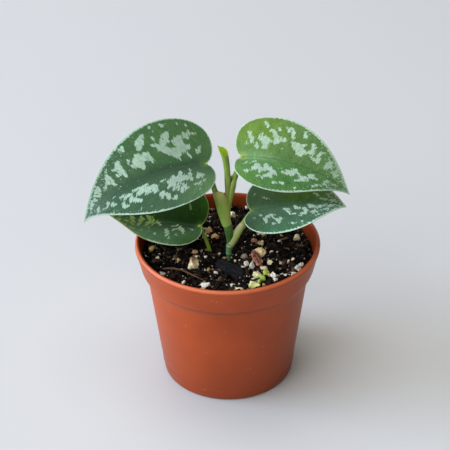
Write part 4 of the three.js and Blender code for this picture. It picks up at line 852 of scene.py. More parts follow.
# Where each tint lies on a blade.
def bladeTints(leaf, x, y, edgeGap):
    along, away = x / leaf["length"], np.abs(y) / halfWidth(leaf, y)
    far = np.clip(0.5 + leaf["farSide"] * y / 4, 0, 1)
    lobe = np.clip((away - 0.1) / 0.5, 0, 1) * np.clip(1 - (along + 0.05) / 0.3, 0, 1)
    warm = np.clip(1.4 * np.exp(-((along - leaf["warmAt"]) / 0.3) ** 2), 0, 1)
    fold = leaf["valleyWidth"] * (0.8 + 0.3 * far) * (1 + leaf["valleyGrow"] * along)
    # where the painted shade along the midrib lies, a painted highlight on the upper right leaf
    valleyShadeAndSheen = 0.9 * np.exp(-(y / fold) ** 2) * np.clip(1 - along / leaf["valleyReach"], 0, 1)
    # the whitish margin is narrow round the lobes and broad from there to the tip on the far side
    narrow = 1.6 * np.clip(1 - (along + 0.05) / 0.35, 0, 1)
    broad = 0.3 * far * np.clip((along - 0.3) / 0.15, 0, 1)
    return {
        "far": far,
        "lobe": lobe,
        "warm": far * np.clip(away / leaf["warmFrom"], 0, 1) * warm,
        "valleyShadeAndSheen": valleyShadeAndSheen * np.clip(0.4 + 6 * along, 0, 1),
        "silverShade": np.maximum(far, np.clip((along - leaf["silverShadeFrom"]) / 0.06, 0, 1)),
        "tipShare": np.clip((along - 0.3) / 0.7, 0, 1) ** 1.5,
        # gleam is a painted highlight on the silver, brightest around the middle of the length and near the
        # margin
        "gleam": 0.9 + 0.25 * np.exp(-((along - 0.52) / 0.2) ** 2) + 0.18 * np.exp(-edgeGap / 0.5),
        "edgeGap": edgeGap * (1 + narrow - broad),
        "footGap": np.hypot(x, y),
        "ribGap": np.abs(y),
    }


def makeBlade(name, leaf):
    x, y = bladeGrid(leaf)
    # distance to the margin, from a fine walk round the outline
    rimX, rimY = outline(leaf, np.linspace(0, 1, blade["outlinePoints"]))
    edgeGap = np.array([np.hypot(rimX * leaf["length"] - a, rimY * half - b).min()
                        for a, b, half in zip(x, np.abs(y), halfWidth(leaf, y))])
    vein, reach = veinPlace(leaf, x, y)
    quilt = blade["veinLift"] * np.cos(vein / blade["veinSpacing"] * fullTurn)
    quilt = quilt * np.clip(np.abs(y) / 4, 0, 1) * np.clip(edgeGap / 3, 0, 1)

    step = 0.2
    ahead = bladePoint(leaf, x + step, y) - bladePoint(leaf, x - step, y)
    aside = bladePoint(leaf, x, y + step) - bladePoint(leaf, x, y - step)
    normal = unit(np.cross(ahead, aside))
    top = bladePoint(leaf, x, y) + normal * quilt[:, None]
    thin = blade["marginThickness"]
    thick = thin + (blade["thickness"] - thin) * (1 - np.exp(-edgeGap / 0.6))
    taper = 1 - 0.75 * np.clip(x / leaf["length"], 0, 1)
    rib = blade["ribDepth"] * taper * np.exp(-(y / blade["ribWidth"]) ** 2) * np.clip(edgeGap / 1.5, 0.15, 1)
    bottom = top - normal * (thick + rib)[:, None]

    count = len(x)
    width = 2 * blade["columns"] + 1
    right = list(range(1, count - 1, width))
    loop = [0] + right + [count - 1] + [i + width - 1 for i in right[::-1]]
    outward = unit(top[loop] - top[count // 2])  # away from the middle of the midrib
    margin = (top[loop] + bottom[loop]) / 2 + outward * blade["marginBulge"]

    values = bladeTints(leaf, x, y, edgeGap)
    values["veins"] = np.stack([vein, reach, np.where(y < 0, 40, 0)], 1)  # so that the halves differ
    values["strokeDepth"] = strokeDepth(leaf, x, y)
    values = {key: np.concatenate([value, value, value[loop]]) for key, value in values.items()}
    values["under"] = np.concatenate([np.zeros(count), np.ones(count), np.zeros(len(loop))])
    makePiece("blade_" + name, np.vstack([top, bottom, margin]), bladeFaces(width, count, loop),
              satinLeafMaterial(name, leaf), ["leaf_" + name], values)


for leafName, leaf in leaves.items():
    makeBlade(leafName, leaf)
    print("blade ready:", leafName)

# Leaf stalks. back is the way that a stalk's back faces. A station is x, y, z, radius, wall, wrap and
# round: the circle that the section follows, its thickness at the back, how many degrees it reaches round
# each way, and from 0, an open sheath, to 1, a solid grooved stalk. Colours run from low to top, then a
# sheath's wing and edge.
stalks = {
    "upper_left": {
        "back": 205,
        "stations": [
            (-0.1, -4.75, 67.1, 1.75, 1, 150, 0), (-0.6, -4.5, 69.2, 2.05, 1.1, 135, 0),
            (-1.1, -4, 72.8, 2.6, 1.25, 126, 0), (-1.95, -3.5, 76.6, 2.55, 1.4, 126, 0),
            (-2.65, -3.2, 78.4, 2.4, 1.5, 125, 0), (-2.95, -3.05, 79.2, 2.25, 1.5, 120, 0),
            (-4, -2.65, 80, 1.35, 1.3, 118, 0.7), (-4.65, -2.25, 81.3, 1.08, 1.2, 125, 1),
            (-5.5, -1.4, 84.2, 1.02, 1, 125, 1), (-6.5, -0.3, 87.3, 1, 1, 125, 1),
            (-7.4, 0.7, 89.1, 0.95, 1, 125, 1), (-8.9, 1.2, 89.3, 0.5, 1, 125, 1),
        ],
        "low": "#97b55d", "mid": "#73902c", "high": "#5c7c24", "top": "#4a661c", "wing": "#9bb057",
        "edge": "#bdb67e",
    },
    "upper_right": {
        "back": 30,
        "stations": [
            (0.1, -4, 72.4, 1.1, 0.8, 130, 0), (0.2, -3.8, 75, 1.25, 0.85, 118, 0),
            (0.5, -3.4, 78, 1.6, 0.9, 112, 0), (0.9, -2.95, 81, 1.95, 1.05, 118, 0),
            (1.35, -2.65, 83.4, 2, 1.2, 126, 0), (1.8, -2.4, 84.9, 1.75, 1.3, 126, 0.2),
            (2.55, -1.95, 85.9, 1.35, 1.25, 124, 0.7), (3.1, -1.5, 86.7, 1.1, 1, 125, 1),
            (3.9, -0.9, 88.7, 1, 1, 125, 1), (4.8, -0.4, 91, 0.95, 1, 125, 1),
            (5.4, -0.1, 92.8, 0.95, 1, 125, 1), (6.6, -0.1, 93, 0.5, 1, 125, 1),
        ],
        "low": "#98bb44", "mid": "#829d41", "high": "#7a943d", "top": "#86a048", "wing": "#93aa52",
        "edge": "#a3b665",
    },
    "lower_left": {
        "back": 200,
        "stations": [
            (-3.6, -1.6, 41.5, 0.85, 1, 125, 1), (-5.2, 0.2, 46.5, 0.85, 1, 125, 1),
            (-6.4, 1.2, 50.6, 0.82, 1, 125, 1), (-7.2, 1.3, 53.8, 0.8, 1, 125, 1),
            (-8.3, 1.5, 57.2, 0.8, 1, 125, 1), (-9.3, 1.8, 60.2, 0.8, 1, 125, 1),
            (-9.9, 1.95, 61.9, 0.85, 1, 125, 1), (-11.1, 2.3, 62.1, 0.5, 1, 125, 1),
        ],
        "low": "#8ba044", "mid": "#7f9c38", "high": "#86a244", "top": "#7c9838", "wing": "#86a244",
        "edge": "#9aa860",
    },
    "lower_right": {
        "back": -45,
        "stations": [
            (1.15, -5.4, 59, 1.5, 1.1, 125, 0), (1.85, -4.95, 60.6, 1.8, 1.15, 112, 0),
            (3.1, -4.05, 62.6, 1.8, 1.15, 104, 0), (4.6, -3, 64.6, 1.6, 1.2, 98, 0),
            (5.9, -2.2, 66, 1.2, 1.1, 110, 0.7), (7.1, -1.4, 67.6, 1, 1, 125, 1),
            (8.9, -0.1, 69.4, 0.95, 1, 125, 1), (10.1, -0.1, 69.9, 0.5, 1, 125, 1),
        ],
        "low": "#abb985", "mid": "#9abc4c", "high": "#8cab48", "top": "#7c9a40", "wing": "#b3b490",
        "edge": "#d3bfb2",
    },
}

stalkMesh = {
    "steps": 9,
    "sectionPoints": 29,
    "freeEdge": 0.22,
    "groove": 0.14,
    "ribs": 0.03,
    "ribCount": 22,
    "mouthReach": 2.4,
    "streak": "#9fb268",
}
# juicy green tissue lets light through for about a millimetre
juicy = {"Subsurface Weight": 0.4, "Subsurface Radius": (0.7, 1, 0.35), "Subsurface Scale": 1.5 * mm}


# Skin of a leaf stalk: smooth and juicy, paler at the base, with fine lengthwise lines; the sheath's
# free edge dries to a thin brownish membrane
def stalkSkinMaterial(name, stalk):
    material, tree = newMaterial("stalkSkin_" + name, 0.4, 1.45, 0.3, juicy)
    rise, free, mouth = (
        addNode(tree, "Attribute", out="Fac", attribute_name=key) for key in ("rise", "freeEdge", "mouth"))
    lines = addNode(tree, "Attribute", out="Vector", attribute_name="lines")
    places = zip((0.05, 0.4, 0.8, 0.93), ("low", "mid", "high", "top"))
    base = addNode(tree, "ValToRGB", {0: rise}, stops=[(place, stalk[key]) for place, key in places])
    # lengthwise lines 0.25 mm wide and 4 mm long
    drawn = addNode(tree, "Mapping", {"Vector": lines, "Scale": (1 / 0.25, 1 / 0.25, 1 / 4)})
    streaks = addNode(tree, "TexNoise", {"Vector": drawn, "Scale": 1, "Detail": 2})
    dry = addNode(tree, "MapRange", {0: free, 1: 0.84, 2: 0.97})
    ends = addNode(tree, "Math", {0: dry, 1: mouth}, operation="MAXIMUM")
    colour = layTints(tree, base, [
        (streaks, 0.47, 0.7, 0.4, stalkMesh["streak"]),
        (free, 0.3, 0.85, 0.6, stalk["wing"]),
        (ends, 0, 1, 1, stalk["edge"]),
    ])
    return finishMaterial(material, colour, streaks, 0.3, 0.15)


# Section of a stalk: the first half of the points is the back, the second half runs back along the
# inside of the sheath or the floor of the groove.
def stalkSection(radius, wall, wrap, solid):
    share = np.linspace(1, -1, stalkMesh["sectionPoints"])
    wrap = math.radians(wrap)
    turn = wrap * share
    edge = min(stalkMesh["freeEdge"], wall)
    hollow = radius - (edge + (wall - edge) * np.cos(share * math.pi / 2))
    grooveX = radius * math.cos(wrap) + stalkMesh["groove"] * radius * (1 - share ** 2)
    innerX = hollow * np.cos(turn) * (1 - solid) + grooveX * solid
    innerY = hollow * np.sin(turn) * (1 - solid) + 0.8 * radius * math.sin(wrap) * share * solid
    outer = radius + stalkMesh["ribs"] * np.cos(turn * stalkMesh["ribCount"])
    xs = np.concatenate([outer * np.cos(turn), innerX[::-1]])
    ys = np.concatenate([outer * np.sin(turn), innerY[::-1]])
    return xs, ys, np.concatenate([turn, turn[::-1]]), np.concatenate([np.abs(share)] * 2)


def makeStalk(name, stalk):
    centres, _, (radius, wall, wrap, solid) = alongStations(stalk["stations"], stalkMesh["steps"])
    solid = np.clip(solid, 0, 1)
    # the sections stand square to the back of the stalk, which runs smoothly past the sheath's top
    spine = centres + np.outer(radius, levelWay(stalk["back"]))
    back, across = crossAxes(unit(np.gradient(spine, axis=0)), stalk["back"])
    travel = np.append(0, np.cumsum(np.linalg.norm(np.diff(centres, axis=0), axis=1)))
    sheathTop = travel[np.argmax(solid > 0.3)] if solid[0] < 0.3 else -50  # far off: no sheath, no mouth
    rings, lines, free, mouth = [], [], [], []
    for i, centre in enumerate(centres):
        xs, ys, turn, share = stalkSection(radius[i], wall[i], wrap[i], solid[i])
        rings.append(centre + np.outer(xs, back[i]) + np.outer(ys, across[i]))
        lines.append(np.stack([2 * np.cos(turn), 2 * np.sin(turn), np.full(len(turn), travel[i])], 1))
        free.append(share * (1 - solid[i]))
        gap = (travel[i] - sheathTop) / stalkMesh["mouthReach"]
        mouth.append(0.7 * np.clip(share / 0.5, 0, 1) * math.exp(-max(5 * gap, -gap) ** 2))
    size = len(rings[0])
    values = {
        "rise": np.repeat(travel / travel[-1], size),
        "lines": np.vstack(lines),
        "freeEdge": np.concatenate(free),
        "mouth": np.concatenate(mouth),
    }
    makePiece("stalk_" + name, np.vstack(rings), loftFaces(len(rings), size), stalkSkinMaterial(name, stalk),
              ["petiole_" + name], values)


for stalkName, stalk in stalks.items():
    makeStalk(stalkName, stalk)
print("leaf stalks ready")

# The stem. Stations are x, y, z and radius.
stem = {
    "sides": 40,
    "steps": 8,
    "stations": [
        (-0.9, -4, 37, 1.1), (-0.6, -4.5, 41, 1.25), (-0.1, -5.2, 47, 1.1), (0.35, -5.6, 50.5, 0.6),
        (0.4, -5.55, 52.5, 0.8), (0.42, -5.5, 54.2, 0.98), (0.42, -5.5, 54.75, 1.18),
        (0.44, -5.45, 55.4, 1.08), (0.55, -5.4, 57, 1.18), (0.85, -5.3, 58.2, 1.4), (0.95, -5.25, 59, 1.3),
        (0.9, -5.15, 61.5, 1.4), (0.55, -5, 64.2, 1.58), (0.25, -4.85, 65.9, 1.7), (0.1, -4.8, 66.6, 1.5),
        (-0.1, -4.75, 67.3, 0.95), (0, -4.3, 70, 0.9), (0.1, -4.05, 72.2, 0.8),
    ],
    "ripple": (0.012, 7, 0),
    "soilPlace": (0.2, -5.6),  # where it leaves the soil
    "clearance": 1.2,  # between it and the grains
    "colour": "#3a6228",
    "lightColour": "#4d763a",
    "lowColour": "#5e8a5e",
    "footColour": "#4b683c",
    "ringColour": "#a4b289",
    "ringHeight": 58.6,
    "ringReach": 0.5,
    "scarColour": "#39302a",
    "scarHeight": 54.7,
    "scarReach": 0.3,
}


# Green stem skin: bluish green and faintly waxy, a corky dark leaf scar and a pale ring at the node
def stemSkinMaterial():
    material, tree = newMaterial("stemSkin", 0.42, 1.45, 0.35)
    height = addNode(tree, "Attribute", out="Fac", attribute_name="height")
    place = addNode(tree, "TexCoord", out="Object")
    # clouds 1.4 mm across
    clouds = addNode(tree, "TexNoise", {"Vector": place, "Scale": perSize(1.43), "Detail": 3})
    upper = addNode(tree, "ValToRGB", {0: clouds}, stops=[(0.35, stem["colour"]), (0.7, stem["lightColour"])])
    wobble = addNode(tree, "MapRange", {0: clouds, 3: -0.35, 4: 0.35})
    level = addNode(tree, "Math", {0: height, 1: wobble}, operation="ADD")
    layers = [(height, 60, 57.5, 1, stem["lowColour"]), (height, 55.5, 54, 1, stem["footColour"])]
    for mark in ("ring", "scar"):
        gap = addNode(tree, "Math", {0: level, 1: stem[mark + "Height"]}, operation="SUBTRACT")
        away = addNode(tree, "Math", {0: gap}, operation="ABSOLUTE")
        reach = stem[mark + "Reach"]
        layers.append((away, reach, 0.3 * reach, 0.85, stem[mark + "Colour"]))
    return finishMaterial(material, layTints(tree, upper, layers), clouds, 0.3, 0.2)


def makeStem():
    vertices, faces, _ = tube(stem["stations"], stem["steps"], stem["sides"], 270, stem["ripple"])
    makePiece("greenStem", vertices, faces, stemSkinMaterial(), ["stem"],
              {"height": vertices[:, 2]})


makeStem()
print("stem ready")

# The new leaf, still rolled.
spear = {
    "stations": [
        (0.15, -4.1, 72.9, 0.85), (0.3, -4, 76, 1.05), (0.3, -3.7, 80, 1.3), (0.15, -3.2, 84, 1.32),
        (0, -2.6, 88, 1.3), (-0.3, -2.2, 91.4, 1.36), (-0.72, -2, 94.3, 1.45), (-1.15, -1.9, 96.4, 1.65),
        (-1.9, -1.8, 97.9, 1.5), (-3.4, -1.8, 99.5, 0.2),
    ],
    "steps": 8,
    "rows": 90,
    "turns": 1.6,  # how many times the blade is rolled round itself
    "rollPoints": 110,
    "innerShare": 0.45,
    "thickness": 0.26,
    "seamCompass": 250,
    "openCompass": 325,  # where the slanted cut is lowest
    "outside": "#728c38",
    "stripe": "#93a95c",
    # partly painted light on the shaded inner face
    "inside": "#b4cf3a",
    "tip": "#4c6018",
}


# Rolled young leaf: fresh yellow-green and glossy, faint pale lines lengthwise, brighter inside the roll,
# partly its own paler inner face and partly painted light on an inside that lies in shade
def rolledLeafMaterial():
    material, tree = newMaterial("rolledLeafSkin", 0.38, 1.45, 0.35, juicy)
    rise, inner = (addNode(tree, "Attribute", out="Fac", attribute_name=key) for key in ("rise", "inner"))
    lines = addNode(tree, "Attribute", out="Vector", attribute_name="lines")
    # lines 0.3 mm wide and 5 mm long
    drawn = addNode(tree, "Mapping", {"Vector": lines, "Scale": (1 / 0.3125, 1, 1 / 5)})
    streaks = addNode(tree, "TexNoise", {"Vector": drawn, "Scale": 1, "Detail": 1})
    colour = layTints(tree, spear["outside"], [
        (streaks, 0.48, 0.62, 0.6, spear["stripe"]),
        # the inside is lightened: partly its own paler green, partly painted light where it lies in shade
        (inner, 0, 1, 1, spear["inside"]),
        (rise, 0.95, 1, 1, spear["tip"]),
    ])
    return finishMaterial(material, colour, streaks, 0.25, 0.15)


# A thin blade rolled into a spiral. Its top is cut off at a slant, so that the roll opens on one side.
def makeSpear():
    centres, tangents, (radius,) = alongStations(spear["stations"], spear["steps"])
    first, second = crossAxes(tangents, spear["seamCompass"])
    known = np.linspace(0, 1, len(centres))
    u = np.linspace(0, 1, spear["rollPoints"])
    turn = fullTurn * spear["turns"] * u
    shrink = 1 - (1 - spear["innerShare"]) * u ** 1.6
    compass = np.radians(spear["seamCompass"] - spear["openCompass"]) + turn
    reach = 0.72 + 0.28 * (0.5 - 0.5 * np.cos(compass)) ** 1.4 - 0.08 * np.clip(2 * u - 0.8, 0, 1)
    level = np.linspace(0, 1, spear["rows"])[:, None]
    place = level * reach
    centre, a, b = (np.stack([np.interp(place, known, column) for column in table.T], -1)
                    for table in (centres, first, second))
    way = a * np.cos(turn)[:, None] + b * np.sin(turn)[:, None]
    wide = np.interp(place, known, radius) * shrink
    outer, inner = (centre + way * np.maximum(wide - inset, 0.03)[..., None]
                    for inset in (0, spear["thickness"]))
    rings = np.concatenate([outer, inner[:, ::-1]], 1)
    rows, size = rings.shape[:2]
    around = np.tile(np.concatenate([turn, turn[::-1]]), rows)
    values = {
        "rise": (level * np.concatenate([reach, reach[::-1]])).ravel(),
        "lines": np.stack([1.2 * around, 0 * around, np.repeat(26 * level, size)], 1),
        "inner": np.tile(np.repeat([0, 1], len(u)), rows),
    }
    makePiece("rolledNewLeaf", rings.reshape(-1, 3), loftFaces(rows, size), rolledLeafMaterial(),
              ["new_leaf"], values)


makeSpear()
print("new leaf ready")

# The bed of potting mix.
soil = {
    "level": 51.3,
    "relief": 0.55,
    "slope": 0.012,  # it rises a little towards the back
    "gap": 0.05,
    "rings": 70,
    "sides": 200,
    "fineRelief": 0.35,
    "fineSize": 1.1,
    "clodSize": 2.5,
    "coarser": 5 / 3,  # than the crumbs
}


# Inside radius of the pot at a height.
def insideRadius(z):
    if z < neckHeight:
        return bodyRadius(z) - pot["wall"]
    neck, band = pot["neckRadius"] - pot["wall"], pot["bandRadius"] - pot["wall"]
    heights = [neckHeight, bandHeight, pot["height"] - 1]
    return np.interp(z, heights, [neck, band, pot["rimRadius"] - pot["lipWidth"]])


def soilHeight(x, y):
    mounds = (np.sin(0.52 * x + 0.31 * y + 0.6) * np.cos(0.47 * y - 0.21 * x)
              + 0.6 * np.sin(0.93 * x - 1.07 * y + 2) + 0.4 * np.sin(1.61 * x + 1.37 * y))
    return soil["level"] + soil["relief"] * mounds + soil["slope"] * y


# How matter with a grain looks. grain is the size of its noise along three axes in millimetres, and shift
# how much the noise moves a point's shade (gain and offset). relief is strength and depth.
matter = {
    # peat-based potting mix, moist: almost black, with brown fibres and a few damp glints
    "peat": {"roughness": 0.6, "ior": 1.45, "gloss": 0.1, "fineness": 0.5, "grain": (0.3, 0.3, 0.3),
             "shift": (0.35, -0.17), "relief": (0.8, 0.4)},
    # expanded perlite: chalk-white volcanic glass foam, matte and pitted
    "perlite": {"roughness": 0.8, "ior": 1.5, "gloss": 0.5, "fineness": 0.65, "grain": (0.667, 0.667, 0.667),
                "shift": (0.5, -0.25), "relief": (0.9, 0.4)},
    # river grit: worn quartz and sandstone grains with a dull gloss
    "grit": {"roughness": 0.55, "ior": 1.54, "gloss": 0.5, "fineness": 0.6, "grain": (0.909, 0.909, 0.909),
             "shift": (0.4, -0.2), "relief": (0.5, 0.3)},
    # pine bark and twigs: reddish brown, in long fibres, dull
    "bark": {"roughness": 0.8, "ior": 1.5, "gloss": 0.5, "fineness": 0.65, "grain": (2.857, 0.333, 0.333),
             "shift": (1.1, -0.55), "relief": (0.8, 0.4)},
}
colours = {
    "peat": [(0, "#030304"), (0.5, "#0c0a0b"), (0.74, "#211814"), (0.9, "#4a392c"), (1, "#8f745a")],
    "perlite": [(0, "#6d6660"), (0.35, "#b3ada6"), (0.7, "#e2dfd9"), (1, "#f4f2ec")],
    "grit": [(0, "#7a5a3c"), (0.3, "#a8794f"), (0.55, "#c9a878"), (0.75, "#ddc9a0"), (1, "#ead9bd")],
    "pineBark": [(0, "#2c150e"), (0.35, "#7c4634"), (0.65, "#a66a54"), (1, "#d3a48c")],
    "twig": [(0, "#24150d"), (0.4, "#55371f"), (0.7, "#86603e"), (1, "#b99a72")],
}


# Matter of a kind, with its grain some times coarser. Bark's grain follows its fibres.
def matterMaterial(name, kind, stops, coarser=1):
    recipe = matter[kind]
    material, tree = newMaterial(name, recipe["roughness"], recipe["ior"], recipe["gloss"])
    shade = addNode(tree, "Attribute", out="Fac", attribute_name="shade")
    if kind == "bark":
        place, unitLength = addNode(tree, "Attribute", out="Vector", attribute_name="fibre"), 1
    else:
        place, unitLength = addNode(tree, "TexCoord", out="Object"), mm
    scale = [1 / (size * coarser * unitLength) for size in recipe["grain"]]
    drawn = addNode(tree, "Mapping", {"Vector": place, "Scale": scale})
    noiseInputs = {"Vector": drawn, "Scale": 1, "Detail": 4, "Roughness": recipe["fineness"]}
    grain = addNode(tree, "TexNoise", noiseInputs)
    gain, offset = recipe["shift"]
    shift = addNode(tree, "Math", {0: grain, 1: gain, 2: offset}, operation="MULTIPLY_ADD")
    total = addNode(tree, "Math", {0: shade, 1: shift}, operation="ADD")
    colour = addNode(tree, "ValToRGB", {0: total}, stops=stops)
    return finishMaterial(material, colour, grain, *recipe["relief"])


def makeSoilBed():
    edge = insideRadius(soil["level"]) - soil["gap"]
    bottom = pot["floorThickness"] + 0.3
    profile = [[0, bottom], [insideRadius(pot["floorThickness"]) - 0.5, bottom],
               [insideRadius(neckHeight) - soil["gap"], neckHeight - 0.1],
               [insideRadius(bandHeight) - soil["gap"], bandHeight]]
    profile += [[edge * i / soil["rings"], soil["level"]] for i in range(soil["rings"], -1, -1)]
    vertices, faces = spin(np.array(profile, float), soil["sides"])
    onTop = np.abs(vertices[:, 2] - soil["level"]) < 0.001
    x, y = vertices[onTop, 0], vertices[onTop, 1]
    fade = np.clip((edge - np.hypot(x, y)) / 2, 0.25, 1)
    rough = soil["fineRelief"] * lumpiness(vertices[onTop], soil["fineSize"], octaves=4)
    vertices[onTop, 2] += fade * (soilHeight(x, y) - soil["level"] + rough)
    clods = lumpiness(vertices, soil["clodSize"], octaves=2, seed=4)
    skin = matterMaterial("moistPottingMix", "peat", colours["peat"], soil["coarser"])
    makePiece("pottingMix", vertices, faces, skin, ["soil"],
              {"shade": np.clip(0.35 + 0.3 * clods, 0, 1)})


makeSoilBed()
print("soil bed ready")


# A few irregular stones to copy from: balls cut by flat facets and roughened.
def stoneTemplates(count, subdivisions, roughness, seed, facets=9):
    random = np.random.default_rng(seed)
    templates = []
    for k in range(count):
        ball = bmesh.new()
        bmesh.ops.create_icosphere(ball, subdivisions=subdivisions, radius=1)
        points = np.array([v.co[:] for v in ball.verts])
        faces = [[v.index for v in f.verts] for f in ball.faces]
        ball.free()
        for _ in range(facets):
            normal = unit(random.normal(size=3))
            over = np.maximum(points @ normal - random.uniform(0.5, 0.85), 0)
            points = points - over[:, None] * normal
        swell = 1 + roughness * lumpiness(points, 0.9, 3, seed + 3 * k)
        templates.append((points * swell[:, None], faces))
    return templates


def randomTurn(random):
    axis = Vector(random.normal(size=3))
    return np.array(Matrix.Rotation(random.uniform(0, fullTurn), 3, axis.normalized()))


# Joins loose parts into one piece. Each is points, faces, and values: one for the part or one for a point.
def makeLoose(name, parts, material):
    vertices, faces, values, start = [], [], {}, 0
    for points, corners, own in parts:
        vertices.append(points)
        faces += [[i + start for i in face] for face in corners]
        for key, value in own.items():
            values.setdefault(key, []).append(np.broadcast_to(value, (len(points), *np.shape(value)[1:])))
        start += len(points)
    values = {key: np.concatenate(value) for key, value in values.items()}
    makePiece(name, np.vstack(vertices), faces, material, values=values)


# Chips from an outline in unit lengths. The grains keep out of an ellipse with the half sizes in clear.
chips = {
    "charcoalChip": {
        "node": "charcoal_chip", "slot": "charcoal", "at": (0.7, -11.9, 51.5), "clear": (6.6, 3),
        "size": (14.2, 6.8, 2.1), "heading": -45, "tilt": 14, "roughen": 0.34, "lump": 1.2,
        "stretch": (0.8, 1.2, 1.2), "contrast": 0,
        "outline": [(1, 0.1), (0.8, 0.75), (0.25, 1), (-0.35, 0.85), (-0.9, 0.9), (-1, -0.1), (-0.7, -0.9),
                    (-0.1, -0.8), (0.35, -1), (0.85, -0.7)],
    },
    "barkChip": {
        "node": "bark_chip", "slot": "bark", "at": (11.0, -6.9, 53.2),
        "size": (10.7, 3.4, 2), "heading": -75, "tilt": -26, "roughen": 0.42, "lump": 1.1,
        "stretch": (0.45, 1.6, 1.6), "contrast": 0.9,
        "outline": [(1, 0), (0.75, 0.65), (0.2, 1), (-0.45, 0.85), (-0.95, 0.4), (-1, -0.3), (-0.6, -0.8),
                    (0, -1), (0.5, -0.85), (0.85, -0.5)],
    },
}
chipLayers = [(-0.5, 0.86), (-0.2, 0.97), (0.1, 1), (0.38, 0.95), (0.5, 0.84)]  # height and size


# Where a grain may lie: inside the pot's wall, clear of the stem and, but for the finest, of the charcoal.
def grainPlace(random, size):
    charcoal = chips["charcoalChip"]
    while True:
        reach = (insideRadius(soil["level"]) - size) * math.sqrt(random.uniform())
        turn = random.uniform(0, fullTurn)
        x, y = reach * math.cos(turn), reach * math.sin(turn)
        if math.dist((x, y), stem["soilPlace"]) < size + stem["clearance"]:
            continue
        way = levelWay(charcoal["heading"])
        dx, dy = x - charcoal["at"][0], y - charcoal["at"][1]
        along, across = dx * way[0] + dy * way[1], dy * way[0] - dx * way[1]
        if size < 0.4 or math.hypot(along / charcoal["clear"][0], across / charcoal["clear"][1]) > 1:
            return x, y


roughBalls = stoneTemplates(count=12, subdivisions=2, roughness=0.45, seed=1)
smallBalls = stoneTemplates(count=8, subdivisions=1, roughness=0.4, seed=60)
smoothBalls = stoneTemplates(count=6, subdivisions=3, roughness=0.15, seed=90)
anySize = ((0.7, 1.3), (0.7, 1.2), (0.6, 1.0))
flakes = ((0.9, 2.0), (0.5, 0.9), (0.15, 0.35))
peat = matterMaterial("peatCrumbs", "peat", colours["peat"])
perlite = matterMaterial("expandedPerlite", "perlite", colours["perlite"])
grit = matterMaterial("riverGrit", "grit", colours["grit"])

# Loose grains. lift is how far they stand out of the soil, in their own size. The higher rare is, the
# fewer of them are large.
grains = {
    "peatCrumbs": {
        "count": 2100, "sizes": (0.45, 1.6), "rare": 2.5, "stretch": anySize, "lift": 0.15, "seed": 3,
        "shapes": roughBalls, "material": peat, "slot": "potting_soil", "shades": (0.1, 0.8),
    },
    "peatFines": {
        "count": 5200, "sizes": (0.16, 0.5), "rare": 1.5, "stretch": anySize, "lift": 0.5, "seed": 4,
        "shapes": smallBalls, "material": peat, "slot": "potting_soil", "shades": (0.1, 1),
    },
    "barkFines": {
        "count": 420, "sizes": (0.5, 1.5), "rare": 2.5, "stretch": flakes, "lift": 0.5, "seed": 5,
        "shapes": roughBalls, "material": peat, "slot": "potting_soil", "shades": (0.55, 1),
    },
    "perliteGrains": {
        "count": 200, "sizes": (0.3, 1), "rare": 3, "stretch": anySize, "lift": 0.4, "seed": 6,
        "shapes": roughBalls, "material": perlite, "slot": "gravel", "shades": (0.5, 1),
    },
    "perliteDust": {
        "count": 520, "sizes": (0.14, 0.34), "rare": 1.5, "stretch": anySize, "lift": 1.2, "seed": 8,
        "shapes": smallBalls, "material": perlite, "slot": "gravel", "shades": (0.4, 1),
    },
    "gritGrains": {
        "count": 110, "sizes": (0.4, 1.2), "rare": 2, "stretch": anySize, "lift": 0.35, "seed": 7,
        "shapes": smoothBalls, "material": grit, "slot": "gravel", "shades": (0.1, 0.9),
    },
}


# Scatters copies of the shapes over the soil.
def scatter(name, grain):
    random = np.random.default_rng(grain["seed"])
    smallest, largest = grain["sizes"]
    parts = []
    for k in range(grain["count"]):
        points, corners = grain["shapes"][k % len(grain["shapes"])]
        size = smallest + (largest - smallest) * random.uniform() ** grain["rare"]
        scale = size * np.array([random.uniform(*limits) for limits in grain["stretch"]])
        turn = np.array(Matrix.Rotation(random.uniform(0, fullTurn), 3, "Z")
                        @ Matrix.Rotation(random.normal() * 0.35, 3, "X"))
        if grain["stretch"] is not flakes:  # flakes lie nearly flat
            turn = randomTurn(random)
        x, y = grainPlace(random, size)
        placed = points * scale @ turn.T + [x, y, soilHeight(x, y) + size * grain["lift"]]
        parts.append((placed, corners, {"shade": random.uniform(*grain["shades"])}))
    makeLoose(name, parts, grain["material"])


for grainName, grain in grains.items():
    scatter(grainName, grain)
print("grains ready")

